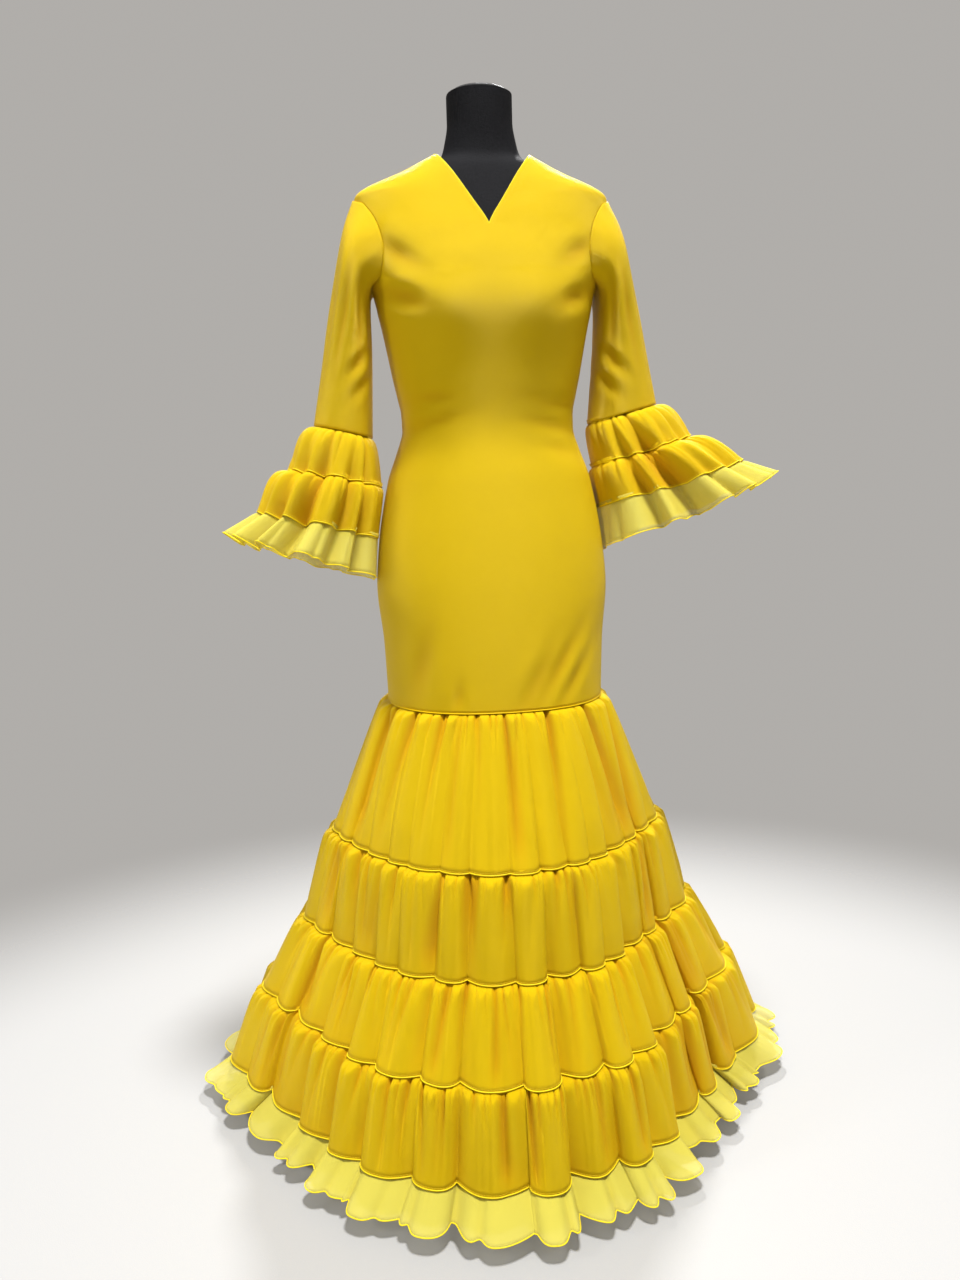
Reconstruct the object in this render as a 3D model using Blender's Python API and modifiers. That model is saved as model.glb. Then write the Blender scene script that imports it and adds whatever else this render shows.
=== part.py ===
"""A flamenco dress standing on its dress form, as separate sewn pieces.

Metres, +Z up. The wearer faces -Y, so the wearer's left side is at +X. The origin is the
middle of the underside of the form's base. Every piece of cloth is an open surface,
which is the cloth's inner face, with a wall of its own thickness laid on outwards.
"""

import math

import bmesh
import bpy
from mathutils import Matrix, Vector

CLOTH = 0.0015  # wall of the yellow cloth
ORGANZA = 0.0010  # wall of the sheer frills
SEAM = 0.0004  # space between two pieces at a seam
ZIP_SLIT = 0.0004  # half of the slit that the zip closes
TUCK = 0.0035  # how far a gathered edge sits inside the edge that it hangs from
TUCK_DOWN = 0.0020  # and how far below it
EASE = 0.0055  # space between the form and the cloth
SQUARENESS = 2.3  # 2 is an oval, and more is a fuller one

# The fitted body, by height: half its width, and how far it reaches forward and back.
BODY = [
    {"z": 0.657, "half_width": 0.1680, "front": 0.144, "back": 0.152},  # hip seam
    {"z": 0.748, "half_width": 0.1710, "front": 0.140, "back": 0.154},
    {"z": 0.832, "half_width": 0.1780, "front": 0.134, "back": 0.154},  # fullest hip
    {"z": 0.896, "half_width": 0.1730, "front": 0.127, "back": 0.144},
    {"z": 0.991, "half_width": 0.1555, "front": 0.113, "back": 0.116},
    {"z": 1.080, "half_width": 0.1290, "front": 0.099, "back": 0.093},  # waist
    {"z": 1.150, "half_width": 0.1410, "front": 0.106, "back": 0.094},
    {"z": 1.240, "half_width": 0.1580, "front": 0.117, "back": 0.102},  # bust
    {"z": 1.300, "half_width": 0.1720, "front": 0.108, "back": 0.106},
    {"z": 1.350, "half_width": 0.1850, "front": 0.092, "back": 0.102},
    {"z": 1.402, "half_width": 0.1860, "front": 0.072, "back": 0.084},  # shoulder tip
    {"z": 1.440, "half_width": 0.1130, "front": 0.058, "back": 0.066},
    {"z": 1.462, "half_width": 0.0700, "front": 0.050, "back": 0.056},  # neck point
]
BUST = {"x": 0.074, "z": 1.238, "across": 0.048, "tall": 0.055, "out": 0.010}

# The armhole, by height: how far out the body panels reach.
ARMHOLE = [
    {"z": 1.270, "x": 0.1645},  # underarm
    {"z": 1.285, "x": 0.1530},
    {"z": 1.312, "x": 0.1480},
    {"z": 1.342, "x": 0.1500},
    {"z": 1.370, "x": 0.1600},
    {"z": 1.390, "x": 0.1730},
    {"z": 1.402, "x": 0.1860},  # shoulder tip
]
PLAIN_ROWS = [0.657, 0.705, 0.760, 0.832, 0.896, 0.945, 0.991, 1.035, 1.080, 1.150, 1.210, 1.270]

# Above the underarm each row of a panel runs from the neckline to the armhole.
FRONT_NECKLINE = [
    {"x": 0.0000, "z": 1.290},
    {"x": 0.0000, "z": 1.320},
    {"x": 0.0000, "z": 1.348},  # foot of the V
    {"x": 0.0230, "z": 1.388},
    {"x": 0.0460, "z": 1.426},
    {"x": 0.0700, "z": 1.462},  # neck point
]
BACK_NECKLINE = [
    {"x": 0.0000, "z": 1.300},
    {"x": 0.0000, "z": 1.336},
    {"x": 0.0000, "z": 1.372},
    {"x": 0.0000, "z": 1.408},
    {"x": 0.0000, "z": 1.438},  # nape
    {"x": 0.0700, "z": 1.462},  # neck point
]
SHOULDER_SHARES = [0.40, 0.68, 0.88, 1.0]  # the rows that round the shoulder, up to its seam
PANEL_COLUMNS = 8

# Each sleeve, by ring: where its outer and inner edges run, and half its depth.
SLEEVE_RINGS = {
    "left": [
        {"outer_x": 0.2070, "outer_z": 1.352, "inner_x": 0.1715, "inner_z": 1.247, "depth": 0.0640},
        {"outer_x": 0.2310, "outer_z": 1.252, "inner_x": 0.1680, "inner_z": 1.190, "depth": 0.0550},
        {"outer_x": 0.2480, "outer_z": 1.170, "inner_x": 0.1630, "inner_z": 1.132, "depth": 0.0510},
        {"outer_x": 0.2620, "outer_z": 1.104, "inner_x": 0.1580, "inner_z": 1.076, "depth": 0.0490},
    ],
    "right": [
        {"outer_x": 0.2060, "outer_z": 1.352, "inner_x": 0.1725, "inner_z": 1.247, "depth": 0.0640},
        {"outer_x": 0.2290, "outer_z": 1.248, "inner_x": 0.1730, "inner_z": 1.190, "depth": 0.0550},
        {"outer_x": 0.2460, "outer_z": 1.160, "inner_x": 0.1750, "inner_z": 1.132, "depth": 0.0500},
        {"outer_x": 0.2620, "outer_z": 1.081, "inner_x": 0.1780, "inner_z": 1.061, "depth": 0.0480},
    ],
}
SLEEVE_MIDDLE_Y = -0.004
ARMHOLE_STEP_TOP = 0.0026  # the sleeve starts this far outside the armhole at the shoulder
ARMHOLE_STEP_UNDER = 0.0055  # and this far at the underarm

# Each cuff, by ring below the elbow seam: its two gathered seams and the edge of its frill.
# The front of each ring is higher than its middle by CUFF_RISE, and the back lower.
CUFF_RINGS = {
    "left": [
        {"outer_x": 0.318, "outer_z": 1.054, "inner_x": 0.164, "inner_z": 1.010, "depth": 0.084},
        {"outer_x": 0.402, "outer_z": 1.014, "inner_x": 0.168, "inner_z": 0.945, "depth": 0.116},
        {"outer_x": 0.455, "outer_z": 0.994, "inner_x": 0.170, "inner_z": 0.882, "depth": 0.140},
    ],
    "right": [
        {"outer_x": 0.308, "outer_z": 1.017, "inner_x": 0.166, "inner_z": 0.986, "depth": 0.078},
        {"outer_x": 0.357, "outer_z": 0.955, "inner_x": 0.170, "inner_z": 0.906, "depth": 0.104},
        {"outer_x": 0.406, "outer_z": 0.925, "inner_x": 0.172, "inner_z": 0.846, "depth": 0.128},
    ],
}
CUFF_RISE = [0.0, 0.006, 0.012, 0.018]  # by ring from the elbow seam down
HIP_CLEARANCE = 0.0065  # a cuff hangs at least this far from the body's inner face
CUFF_FOLD = [0.0030, 0.0090, 0.0130, 0.0180]  # depth of its folds from the elbow seam down
CUFF_COLUMNS = 28
FLOUNCE_PUFF = {"along": 0.30, "out": 0.006}

# The skirt's seams at the crests of its folds: how full the oval is there, and how deep
# the deepest folds are.
SKIRT_SEAMS = [
    {"z": 0.656, "half_width": 0.168, "front": 0.144, "back": 0.152, "square": 2.30, "fold": 0.000},
    {"z": 0.444, "half_width": 0.270, "front": 0.240, "back": 0.262, "square": 1.75, "fold": 0.016},
    {"z": 0.298, "half_width": 0.325, "front": 0.278, "back": 0.322, "square": 1.68, "fold": 0.028},
    {"z": 0.181, "half_width": 0.400, "front": 0.346, "back": 0.405, "square": 1.65, "fold": 0.040},
    {"z": 0.056, "half_width": 0.460, "front": 0.386, "back": 0.462, "square": 1.65, "fold": 0.048},
    {"z": 0.027, "half_width": 0.500, "front": 0.432, "back": 0.505, "square": 1.65, "fold": 0.054},
]
# The rows of a tier, as shares of its length, and how far it puffs out there.
LONG_TIER_ROWS = [
    {"along": 0.0, "out": 0.000},
    {"along": 0.14, "out": 0.010},
    {"along": 0.55, "out": 0.006},
    {"along": 1.0, "out": 0.000},
]
TIER_ROWS = [
    {"along": 0.0, "out": 0.000},
    {"along": 0.24, "out": 0.009},
    {"along": 1.0, "out": 0.000},
]
FRILL_ROWS = [{"along": 0.0, "out": 0.000}, {"along": 1.0, "out": 0.000}]
# The skirt's folds: each valley, in degrees from the front towards the wearer's left, how
# deep it is beside the fold depth, and how far in the crest after it stays.
SKIRT_FOLDS = [
    {"angle": -174.0, "depth": 0.60, "crest": 0.10},
    {"angle": -163.5, "depth": 0.90, "crest": 0.00},
    {"angle": -152.0, "depth": 0.55, "crest": 0.20},
    {"angle": -141.0, "depth": 1.00, "crest": 0.30},
    {"angle": -130.5, "depth": 0.70, "crest": 0.35},
    {"angle": -119.0, "depth": 0.95, "crest": 0.15},
    {"angle": -108.0, "depth": 0.60, "crest": 0.00},
    {"angle": -96.5, "depth": 0.90, "crest": 0.05},
    {"angle": -84.0, "depth": 0.60, "crest": 0.45},
    {"angle": -73.0, "depth": 0.90, "crest": 0.65},
    {"angle": -63.0, "depth": 1.00, "crest": 0.50},
    {"angle": -51.0, "depth": 0.75, "crest": 0.20},
    {"angle": -41.0, "depth": 0.50, "crest": 0.00},
    {"angle": -28.0, "depth": 0.60, "crest": 0.00},
    {"angle": -16.0, "depth": 0.70, "crest": 0.00},
    {"angle": -3.0, "depth": 0.60, "crest": 0.00},
    {"angle": 10.0, "depth": 0.95, "crest": 0.30},
    {"angle": 19.0, "depth": 0.75, "crest": 0.05},
    {"angle": 30.0, "depth": 0.55, "crest": 0.30},
    {"angle": 41.0, "depth": 1.40, "crest": 0.75},
    {"angle": 51.0, "depth": 1.05, "crest": 0.80},
    {"angle": 62.0, "depth": 1.45, "crest": 0.85},
    {"angle": 75.0, "depth": 1.10, "crest": 0.35},
    {"angle": 88.0, "depth": 0.60, "crest": 0.05},
    {"angle": 100.0, "depth": 0.70, "crest": 0.15},
    {"angle": 112.0, "depth": 0.95, "crest": 0.30},
    {"angle": 123.5, "depth": 0.60, "crest": 0.40},
    {"angle": 135.0, "depth": 1.10, "crest": 0.30},
    {"angle": 146.0, "depth": 0.70, "crest": 0.10},
    {"angle": 157.5, "depth": 0.85, "crest": 0.00},
    {"angle": 169.5, "depth": 0.55, "crest": 0.05},
]

ZIP_FOOT_Z = 0.800
ZIP_HEAD_Z = 1.428
ZIP_TAPE = {"half_width": 0.010, "thickness": 0.0010, "inside": 0.0008}
SLIDER = {"z": 1.404, "width": 0.0060, "length": 0.0090, "thickness": 0.0020, "off_cloth": 0.0006}
LUG = {"x": 0.0023, "thickness": 0.0009, "height": 0.0034, "length": 0.0030}
PIN = {"radius": 0.0006, "height": 0.0023}
TAB = {"length": 0.0200, "neck": 0.0015, "half_width": 0.0030, "thickness": 0.0010}
TAB_EYE = {"radius": 0.0017, "hole": 0.0010}

# The form's neck, above its shoulders.
NECK = [
    {"z": 1.4600, "half_width": 0.0600, "front": 0.0430, "back": 0.0485},
    {"z": 1.4800, "half_width": 0.0530, "front": 0.0420, "back": 0.0480},
    {"z": 1.5100, "half_width": 0.0480, "front": 0.0430, "back": 0.0470},
    {"z": 1.5460, "half_width": 0.0480, "front": 0.0440, "back": 0.0470},
]
FORM_FOOT_Z = 0.700
FORM_COLUMNS = 28
NECK_CAP = {"radius": 0.0440, "thickness": 0.0080}
POLE_RADIUS = 0.0160
BASE = {"radius": 0.1750, "rim": 0.0100, "hub_radius": 0.0300, "height": 0.0260}

COLOURS = {
    "yellow_cloth": {"colour": (0.93, 0.66, 0.010, 1.0), "roughness": 0.62, "metallic": 0.0},
    "yellow_organza": {"colour": (0.90, 0.80, 0.160, 1.0), "roughness": 0.50, "metallic": 0.0},
    "zip_yellow": {"colour": (0.90, 0.62, 0.020, 1.0), "roughness": 0.50, "metallic": 0.0},
    "zip_steel": {"colour": (0.62, 0.62, 0.60, 1.0), "roughness": 0.30, "metallic": 1.0},
    "form_black": {"colour": (0.012, 0.012, 0.014, 1.0), "roughness": 0.55, "metallic": 0.0},
    "stand_black": {"colour": (0.020, 0.020, 0.022, 1.0), "roughness": 0.40, "metallic": 0.0},
}


def clear_scene():
    for thing in list(bpy.data.objects):
        bpy.data.objects.remove(thing, do_unlink=True)


def make_collection(name):
    made = bpy.data.collections.new(name)
    bpy.context.scene.collection.children.link(made)
    return made


def make_materials():
    made = {}
    for name, look in COLOURS.items():
        material = bpy.data.materials.new(name)
        material.use_nodes = True
        shader = material.node_tree.nodes["Principled BSDF"]
        shader.inputs["Base Color"].default_value = look["colour"]
        shader.inputs["Roughness"].default_value = look["roughness"]
        shader.inputs["Metallic"].default_value = look["metallic"]
        material.diffuse_color = look["colour"]
        made[name] = material
    return made


clear_scene()
DRESS = make_collection("flamenco_dress")
CUTTERS = make_collection("cutters")
MATERIALS = make_materials()


def add_object(name, mesh, material, collection=DRESS):
    made = bpy.data.objects.new(name, mesh)
    collection.objects.link(made)
    mesh.materials.append(MATERIALS[material])
    return made


def column(table, name, z):
    """A column of a table at a height between its rows, on a smooth curve through them."""
    last = len(table) - 2
    row = 0
    while row < last and (table[row + 1]["z"] - z) * (table[-1]["z"] - table[0]["z"]) < 0:
        row += 1
    near = [table[max(0, min(len(table) - 1, i))] for i in range(row - 1, row + 3)]
    low, high = near[1], near[2]
    span = high["z"] - low["z"]
    share = max(0.0, min(1.0, (z - low["z"]) / span))

    def slope(before, here, after):
        if before is here or after is here:
            return (after[name] - before[name]) / (after["z"] - before["z"])
        first = (here[name] - before[name]) / (here["z"] - before["z"])
        second = (after[name] - here[name]) / (after["z"] - here["z"])
        return 0.0 if first * second <= 0 else 2 * first * second / (first + second)

    start = slope(near[0], low, high) * span
    end = slope(low, high, near[3]) * span
    square, cube = share * share, share * share * share
    return (
        (2 * cube - 3 * square + 1) * low[name]
        + (cube - 2 * square + share) * start
        + (3 * square - 2 * cube) * high[name]
        + (cube - square) * end
    )


def oval(half_width, front, back, angle):
    """A point on a full oval, at an angle from the front towards +X."""
    power = 2 / SQUARENESS
    across = math.copysign(abs(math.sin(angle)) ** power, math.sin(angle))
    along = math.copysign(abs(math.cos(angle)) ** power, math.cos(angle))
    return half_width * across, -(front if along > 0 else back) * along


def angle_at(x, half_width):
    """The angle at which an oval of this half width reaches x."""
    return math.asin(max(-1.0, min(1.0, x / half_width)) ** (SQUARENESS / 2))


def bust_out(x, z):
    away = ((abs(x) - BUST["x"]) / BUST["across"]) ** 2 + ((z - BUST["z"]) / BUST["tall"]) ** 2
    return BUST["out"] * math.exp(-away)


def body_point(x_share, z, front, grow=0.0):
    """A point of the body at a height; x_share is the oval's angle, 0 in the middle."""
    x, y = oval(
        column(BODY, "half_width", z) + grow,
        column(BODY, "front", z) + grow,
        column(BODY, "back", z) + grow,
        x_share if front else math.pi - x_share,
    )
    if front:
        y -= bust_out(x, z) * math.cos(x_share)
    return Vector((x, y, z))


def grid_mesh(name, rows, closed=False):
    """A surface through rows of points, all of one length; closed rows join end to end."""
    mesh = bmesh.new()
    made = [[mesh.verts.new(point) for point in row] for row in rows]
    count = len(rows[0])
    for low, high in zip(made, made[1:]):
        for i in range(count if closed else count - 1):
            j = (i + 1) % count
            mesh.faces.new((low[i], low[j], high[j], high[i]))
    data = bpy.data.meshes.new(name)
    mesh.to_mesh(data)
    mesh.free()
    data.shade_smooth()
    return data


def add_wall(thing, thickness):
    wall = thing.modifiers.new("cloth_wall", "SOLIDIFY")
    wall.thickness = thickness
    wall.offset = 1.0


def panel_edges(neckline, inset):
    """Where each row of half a panel starts and ends: an angle and a height at both edges."""
    edges = []
    for z in PLAIN_ROWS:
        start = angle_at(inset, column(BODY, "half_width", z))
        edges.append({"start": start, "start_z": z, "end": math.pi / 2, "end_z": z})
    for inner, outer in zip(neckline, ARMHOLE[1:]):
        start = angle_at(max(inner["x"], inset), column(BODY, "half_width", inner["z"]))
        end = angle_at(outer["x"], column(BODY, "half_width", outer["z"]))
        edges.append({"start": start, "start_z": inner["z"], "end": end, "end_z": outer["z"]})
    ridge = edges.pop()
    ridge["end"] = math.pi / 2
    below = edges[-1]
    low_x, high_x = max(neckline[-2]["x"], inset), neckline[-1]["x"]
    for share in SHOULDER_SHARES:
        edge = {key: below[key] + (ridge[key] - below[key]) * share for key in ridge}
        x = low_x + (high_x - low_x) * share
        edge["start"] = angle_at(x, column(BODY, "half_width", edge["start_z"]))
        edges.append(edge)
    return edges


def panel_rows(neckline, front, inset):
    """Rows of half a panel at +X, from the middle to the side seam or the armhole."""
    rows = []
    for edge in panel_edges(neckline, inset):
        row = []
        for i in range(PANEL_COLUMNS + 1):
            share = i / PANEL_COLUMNS
            angle = edge["start"] + (edge["end"] - edge["start"]) * share
            z = edge["start_z"] + (edge["end_z"] - edge["start_z"]) * share
            point = body_point(angle, z, front)
            point.y += -SEAM / 2 if front else SEAM / 2
            row.append(point)
        rows.append(row)
    return rows


def make_front():
    mesh = grid_mesh("front", panel_rows(FRONT_NECKLINE, True, 0.0))
    thing = add_object("front", mesh, "yellow_cloth")
    mirror = thing.modifiers.new("other_half", "MIRROR")
    mirror.use_clip = True
    mirror.merge_threshold = 0.0001
    add_wall(thing, CLOTH)


def flipped(rows):
    """The rows seen in the mirror plane x = 0, in the order that keeps their faces turned out."""
    return [[Vector((-p.x, p.y, p.z)) for p in reversed(row)] for row in rows]


def make_backs():
    rows = [list(reversed(row)) for row in panel_rows(BACK_NECKLINE, False, ZIP_SLIT)]
    add_wall(add_object("back_left", grid_mesh("back_left", rows), "yellow_cloth"), CLOTH)
    add_wall(add_object("back_right", grid_mesh("back_right", flipped(rows)), "yellow_cloth"), CLOTH)


def placed(points, side):
    """Points of a left-hand ring, on the side asked for, in the order that faces outwards."""
    if side == "left":
        return points
    return [Vector((-p.x, p.y, p.z)) for p in reversed(points)]


def armhole_ring():
    """The armhole's edge on the body: up the front from the underarm, and down the back."""
    ring = []
    foot, head = ARMHOLE[0]["z"], ARMHOLE[-1]["z"]
    edges = [edge for edge in panel_edges(FRONT_NECKLINE, 0.0) if edge["end_z"] >= foot]
    for front in (True, False):
        for edge in edges[:-1] if front else reversed(edges[1:]):
            point = body_point(edge["end"], edge["end_z"], front)
            height = (edge["end_z"] - foot) / (head - foot)
            point.x += ARMHOLE_STEP_UNDER + (ARMHOLE_STEP_TOP - ARMHOLE_STEP_UNDER) * height
            ring.append(point)
    return ring


def tilted_ring(row, turns, folds):
    """A ring between its outer and inner edges, at angles from the inner edge forward."""
    outer = Vector((row["outer_x"], SLEEVE_MIDDLE_Y, row["outer_z"]))
    inner = Vector((row["inner_x"], SLEEVE_MIDDLE_Y, row["inner_z"]))
    middle = (outer + inner) / 2
    out = (outer - inner) / 2
    forward = Vector((0, -row["depth"], row.get("rise", 0.0)))
    ring = []
    for turn, fold in zip(turns, folds):
        reach = 1.0 - fold / out.length
        ring.append(middle + reach * (-out * math.cos(turn) + forward * math.sin(turn)))
    return ring


def clear_of_hip(point):
    """The point, moved out from the body where it would come too near."""
    reach = column(BODY, "front" if point.y < 0 else "back", point.z)
    inside = max(0.0, 1.0 - (abs(point.y) / reach) ** SQUARENESS)
    edge = column(BODY, "half_width", point.z) * inside ** (1 / SQUARENESS) + HIP_CLEARANCE
    return Vector((max(point.x, edge), point.y, point.z))


def make_sleeve(side):
    top = armhole_ring()
    turns = [2 * math.pi * i / len(top) for i in range(len(top))]
    rings = [placed(top, side)]
    for row in SLEEVE_RINGS[side]:
        rings.append(placed(tilted_ring(row, turns, [0.0] * len(top)), side))
    name = f"sleeve_{side}"
    rings.reverse()
    add_wall(add_object(name, grid_mesh(name, rings, closed=True), "yellow_cloth"), CLOTH)


def cuff_ring(side, above, share, out):
    """A ring between two of a cuff's seams, with its folds, puffed out from the crest line."""
    seams = [SLEEVE_RINGS[side][-1]] + CUFF_RINGS[side]
    high = dict(seams[above], rise=CUFF_RISE[above])
    low = dict(seams[above + 1], rise=CUFF_RISE[above + 1])
    row = {key: high[key] + (low[key] - high[key]) * share for key in high}
    fold = CUFF_FOLD[above] + (CUFF_FOLD[above + 1] - CUFF_FOLD[above]) * share
    turns = [2 * math.pi * i / CUFF_COLUMNS for i in range(CUFF_COLUMNS)]
    folds = []
    for i, turn in enumerate(turns):
        uneven = 0.78 + 0.22 * math.sin(2.7 * i + above)
        outside = 0.35 + 0.65 * (1 - math.cos(turn)) / 2
        folds.append((i % 2) * fold * uneven * outside - out * (outside if out > 0 else 1.0))
    ring = tilted_ring(row, turns, folds)
    if above > 0 or share > 0:
        ring = [clear_of_hip(point) for point in ring]
    return placed(ring, side)


def make_cuff(side):
    pieces = [
        {"name": f"cuff_{side}_upper_flounce", "material": "yellow_cloth", "wall": CLOTH},
        {"name": f"cuff_{side}_lower_flounce", "material": "yellow_cloth", "wall": CLOTH},
        {"name": f"cuff_{side}_frill", "material": "yellow_organza", "wall": ORGANZA},
    ]
    for number, piece in enumerate(pieces):
        rows = [{"along": 0.0, "out": -TUCK}]
        if number < 2:
            rows.append(FLOUNCE_PUFF)
        rows.append({"along": 1.0, "out": 0.0})
        rings = [cuff_ring(side, number, row["along"], row["out"]) for row in rows]
        for point in rings[0]:
            point.z -= TUCK_DOWN
        rings.reverse()
        mesh = grid_mesh(piece["name"], rings, closed=True)
        add_wall(add_object(piece["name"], mesh, piece["material"]), piece["wall"])


def skirt_columns():
    """Every valley and every crest of the skirt's folds, in order, as an angle and a depth."""
    columns = []
    for i, fold in enumerate(SKIRT_FOLDS):
        after = SKIRT_FOLDS[(i + 1) % len(SKIRT_FOLDS)]["angle"]
        if after < fold["angle"]:
            after += 360
        columns.append({"angle": math.radians(fold["angle"]), "depth": fold["depth"]})
        middle = (fold["angle"] + after) / 2
        columns.append({"angle": math.radians(middle), "depth": fold["crest"]})
    return columns


def skirt_ring(top, share, out):
    """A ring between two of the skirt's seams, puffed out from the crest line by out."""
    high, low = SKIRT_SEAMS[top], SKIRT_SEAMS[top + 1]
    size = {key: high[key] + (low[key] - high[key]) * share for key in high}
    ring = []
    for place in skirt_columns():
        across, along = math.sin(place["angle"]), math.cos(place["angle"])
        depth = size["front"] if along > 0 else size["back"]
        square = size["square"]
        powers = (abs(across) / size["half_width"]) ** square + (abs(along) / depth) ** square
        reach = powers ** (-1 / square) + out - size["fold"] * place["depth"]
        ring.append(Vector((across * reach, -along * reach, size["z"])))
    return ring


def make_skirt():
    pieces = [
        {"name": "skirt_tier_1", "rows": LONG_TIER_ROWS, "material": "yellow_cloth", "wall": CLOTH},
        {"name": "skirt_tier_2", "rows": TIER_ROWS, "material": "yellow_cloth", "wall": CLOTH},
        {"name": "skirt_tier_3", "rows": TIER_ROWS, "material": "yellow_cloth", "wall": CLOTH},
        {"name": "skirt_tier_4", "rows": TIER_ROWS, "material": "yellow_cloth", "wall": CLOTH},
        {"name": "skirt_frill", "rows": FRILL_ROWS, "material": "yellow_organza", "wall": ORGANZA},
    ]
    for number, piece in enumerate(pieces):
        rings = []
        for row in piece["rows"]:
            out = row["out"] - (TUCK if row["along"] == 0 else 0.0)
            rings.append(skirt_ring(number, row["along"], out))
        for point in rings[0]:
            point.z -= TUCK_DOWN
        rings.reverse()
        mesh = grid_mesh(piece["name"], rings, closed=True)
        add_wall(add_object(piece["name"], mesh, piece["material"]), piece["wall"])


def capped_loft(name, rings):
    """A closed solid through rings of points, with a flat face at each end."""
    mesh = bmesh.new()
    made = [[mesh.verts.new(point) for point in ring] for ring in rings]
    count = len(rings[0])
    for low, high in zip(made, made[1:]):
        for i in range(count):
            j = (i + 1) % count
            mesh.faces.new((low[i], low[j], high[j], high[i]))
    mesh.faces.new(list(reversed(made[0])))
    mesh.faces.new(made[-1])
    data = bpy.data.meshes.new(name)
    mesh.to_mesh(data)
    mesh.free()
    data.shade_smooth()
    data.set_sharp_from_angle(angle=math.radians(50))
    return data


def form_rows():
    rows = []
    heights = [FORM_FOOT_Z] + [z for z in PLAIN_ROWS if z > FORM_FOOT_Z + 0.01]
    heights += [1.300, 1.350, 1.380, 1.402, 1.420, 1.440]
    for z in heights:
        sizes = {key: column(BODY, key, z) - EASE for key in ("half_width", "front", "back")}
        rows.append(dict(sizes, z=z))
    return rows + NECK


def make_form_torso():
    turns = [2 * math.pi * i / FORM_COLUMNS for i in range(FORM_COLUMNS)]
    rings = []
    for row in form_rows():
        ring = []
        for turn in turns:
            x, y = oval(row["half_width"], row["front"], row["back"], turn)
            if math.cos(turn) > 0:
                y -= bust_out(x, row["z"]) * math.cos(turn)
            ring.append(Vector((x, y, row["z"])))
        rings.append(ring)
    add_object("form_torso", capped_loft("form_torso", rings), "form_black")


def add_turned(name, profile, material, steps=32):
    """A turned solid from a profile of radius and height, down its outer side."""
    mesh = bmesh.new()
    points = [mesh.verts.new((radius, 0, z)) for radius, z in profile]
    for first, second in zip(points, points[1:]):
        mesh.edges.new((first, second))
    data = bpy.data.meshes.new(name)
    mesh.to_mesh(data)
    mesh.free()
    thing = add_object(name, data, material)
    turn = thing.modifiers.new("turning", "SCREW")
    turn.steps = steps
    turn.render_steps = steps
    turn.use_merge_vertices = True
    turn.merge_threshold = 0.0001
    return thing


def make_stand():
    neck_top = NECK[-1]["z"]
    radius, thick = NECK_CAP["radius"], NECK_CAP["thickness"]
    low = neck_top + SEAM
    cap = [(0.0, low + thick), (radius * 0.72, low + thick * 0.86)]
    cap += [(radius * 0.95, low + thick * 0.5), (radius, low + thick * 0.2)]
    cap += [(radius, low), (0.0, low)]
    add_turned("form_neck_cap", cap, "stand_black")
    top = FORM_FOOT_Z - SEAM
    foot = BASE["height"] + SEAM
    pole = [(0.0, top), (POLE_RADIUS, top), (POLE_RADIUS, foot), (0.0, foot)]
    add_turned("form_pole", pole, "stand_black", steps=20)
    hub, rim, height = BASE["hub_radius"], BASE["rim"], BASE["height"]
    base = [(0.0, height), (hub * 0.85, height), (hub, height * 0.86)]
    base += [(BASE["radius"] * 0.80, rim * 1.25), (BASE["radius"] * 0.97, rim)]
    base += [(BASE["radius"], rim * 0.6), (BASE["radius"], 0.0), (0.0, 0.0)]
    add_turned("form_base", base, "stand_black", steps=48)


def make_zip_tape():
    """A strip that lies inside the slit of the back."""
    heights = [ZIP_FOOT_Z] + [z for z in PLAIN_ROWS if z > ZIP_FOOT_Z + 0.01]
    heights += [1.300, 1.336, 1.372, 1.400, ZIP_HEAD_Z]
    inside = ZIP_TAPE["inside"] + ZIP_TAPE["thickness"]
    rows = []
    for z in heights:
        row = []
        for x in (ZIP_TAPE["half_width"], 0.0, -ZIP_TAPE["half_width"]):
            angle = angle_at(abs(x), column(BODY, "half_width", z))
            row.append(Vector((x, body_point(angle, z, False).y - inside, z)))
        rows.append(row)
    thing = add_object("zip_tape", grid_mesh("zip_tape", rows), "zip_yellow")
    add_wall(thing, ZIP_TAPE["thickness"])


def primitive(name, shape, material, collection):
    """A mesh object from a filled bmesh."""
    data = bpy.data.meshes.new(name)
    shape.to_mesh(data)
    shape.free()
    return add_object(name, data, material, collection)


def box(name, size, middle, material, collection):
    shape = bmesh.new()
    bmesh.ops.create_cube(shape, size=1.0)
    bmesh.ops.scale(shape, vec=size, verts=shape.verts)
    bmesh.ops.translate(shape, vec=middle, verts=shape.verts)
    return primitive(name, shape, material, collection)


def bar(name, radius, length, middle, material, collection, segments=16):
    """A round bar along X."""
    shape = bmesh.new()
    bmesh.ops.create_cone(
        shape, cap_ends=True, segments=segments, radius1=radius, radius2=radius, depth=length
    )
    bmesh.ops.rotate(shape, verts=shape.verts, matrix=Matrix.Rotation(math.pi / 2, 3, "Y"))
    bmesh.ops.translate(shape, vec=middle, verts=shape.verts)
    return primitive(name, shape, material, collection)


def cut_or_join(thing, other, operation):
    other.hide_render = True
    other.display_type = "WIRE"
    step = thing.modifiers.new(other.name, "BOOLEAN")
    step.operation = operation
    step.solver = "EXACT"
    step.object = other


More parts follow.
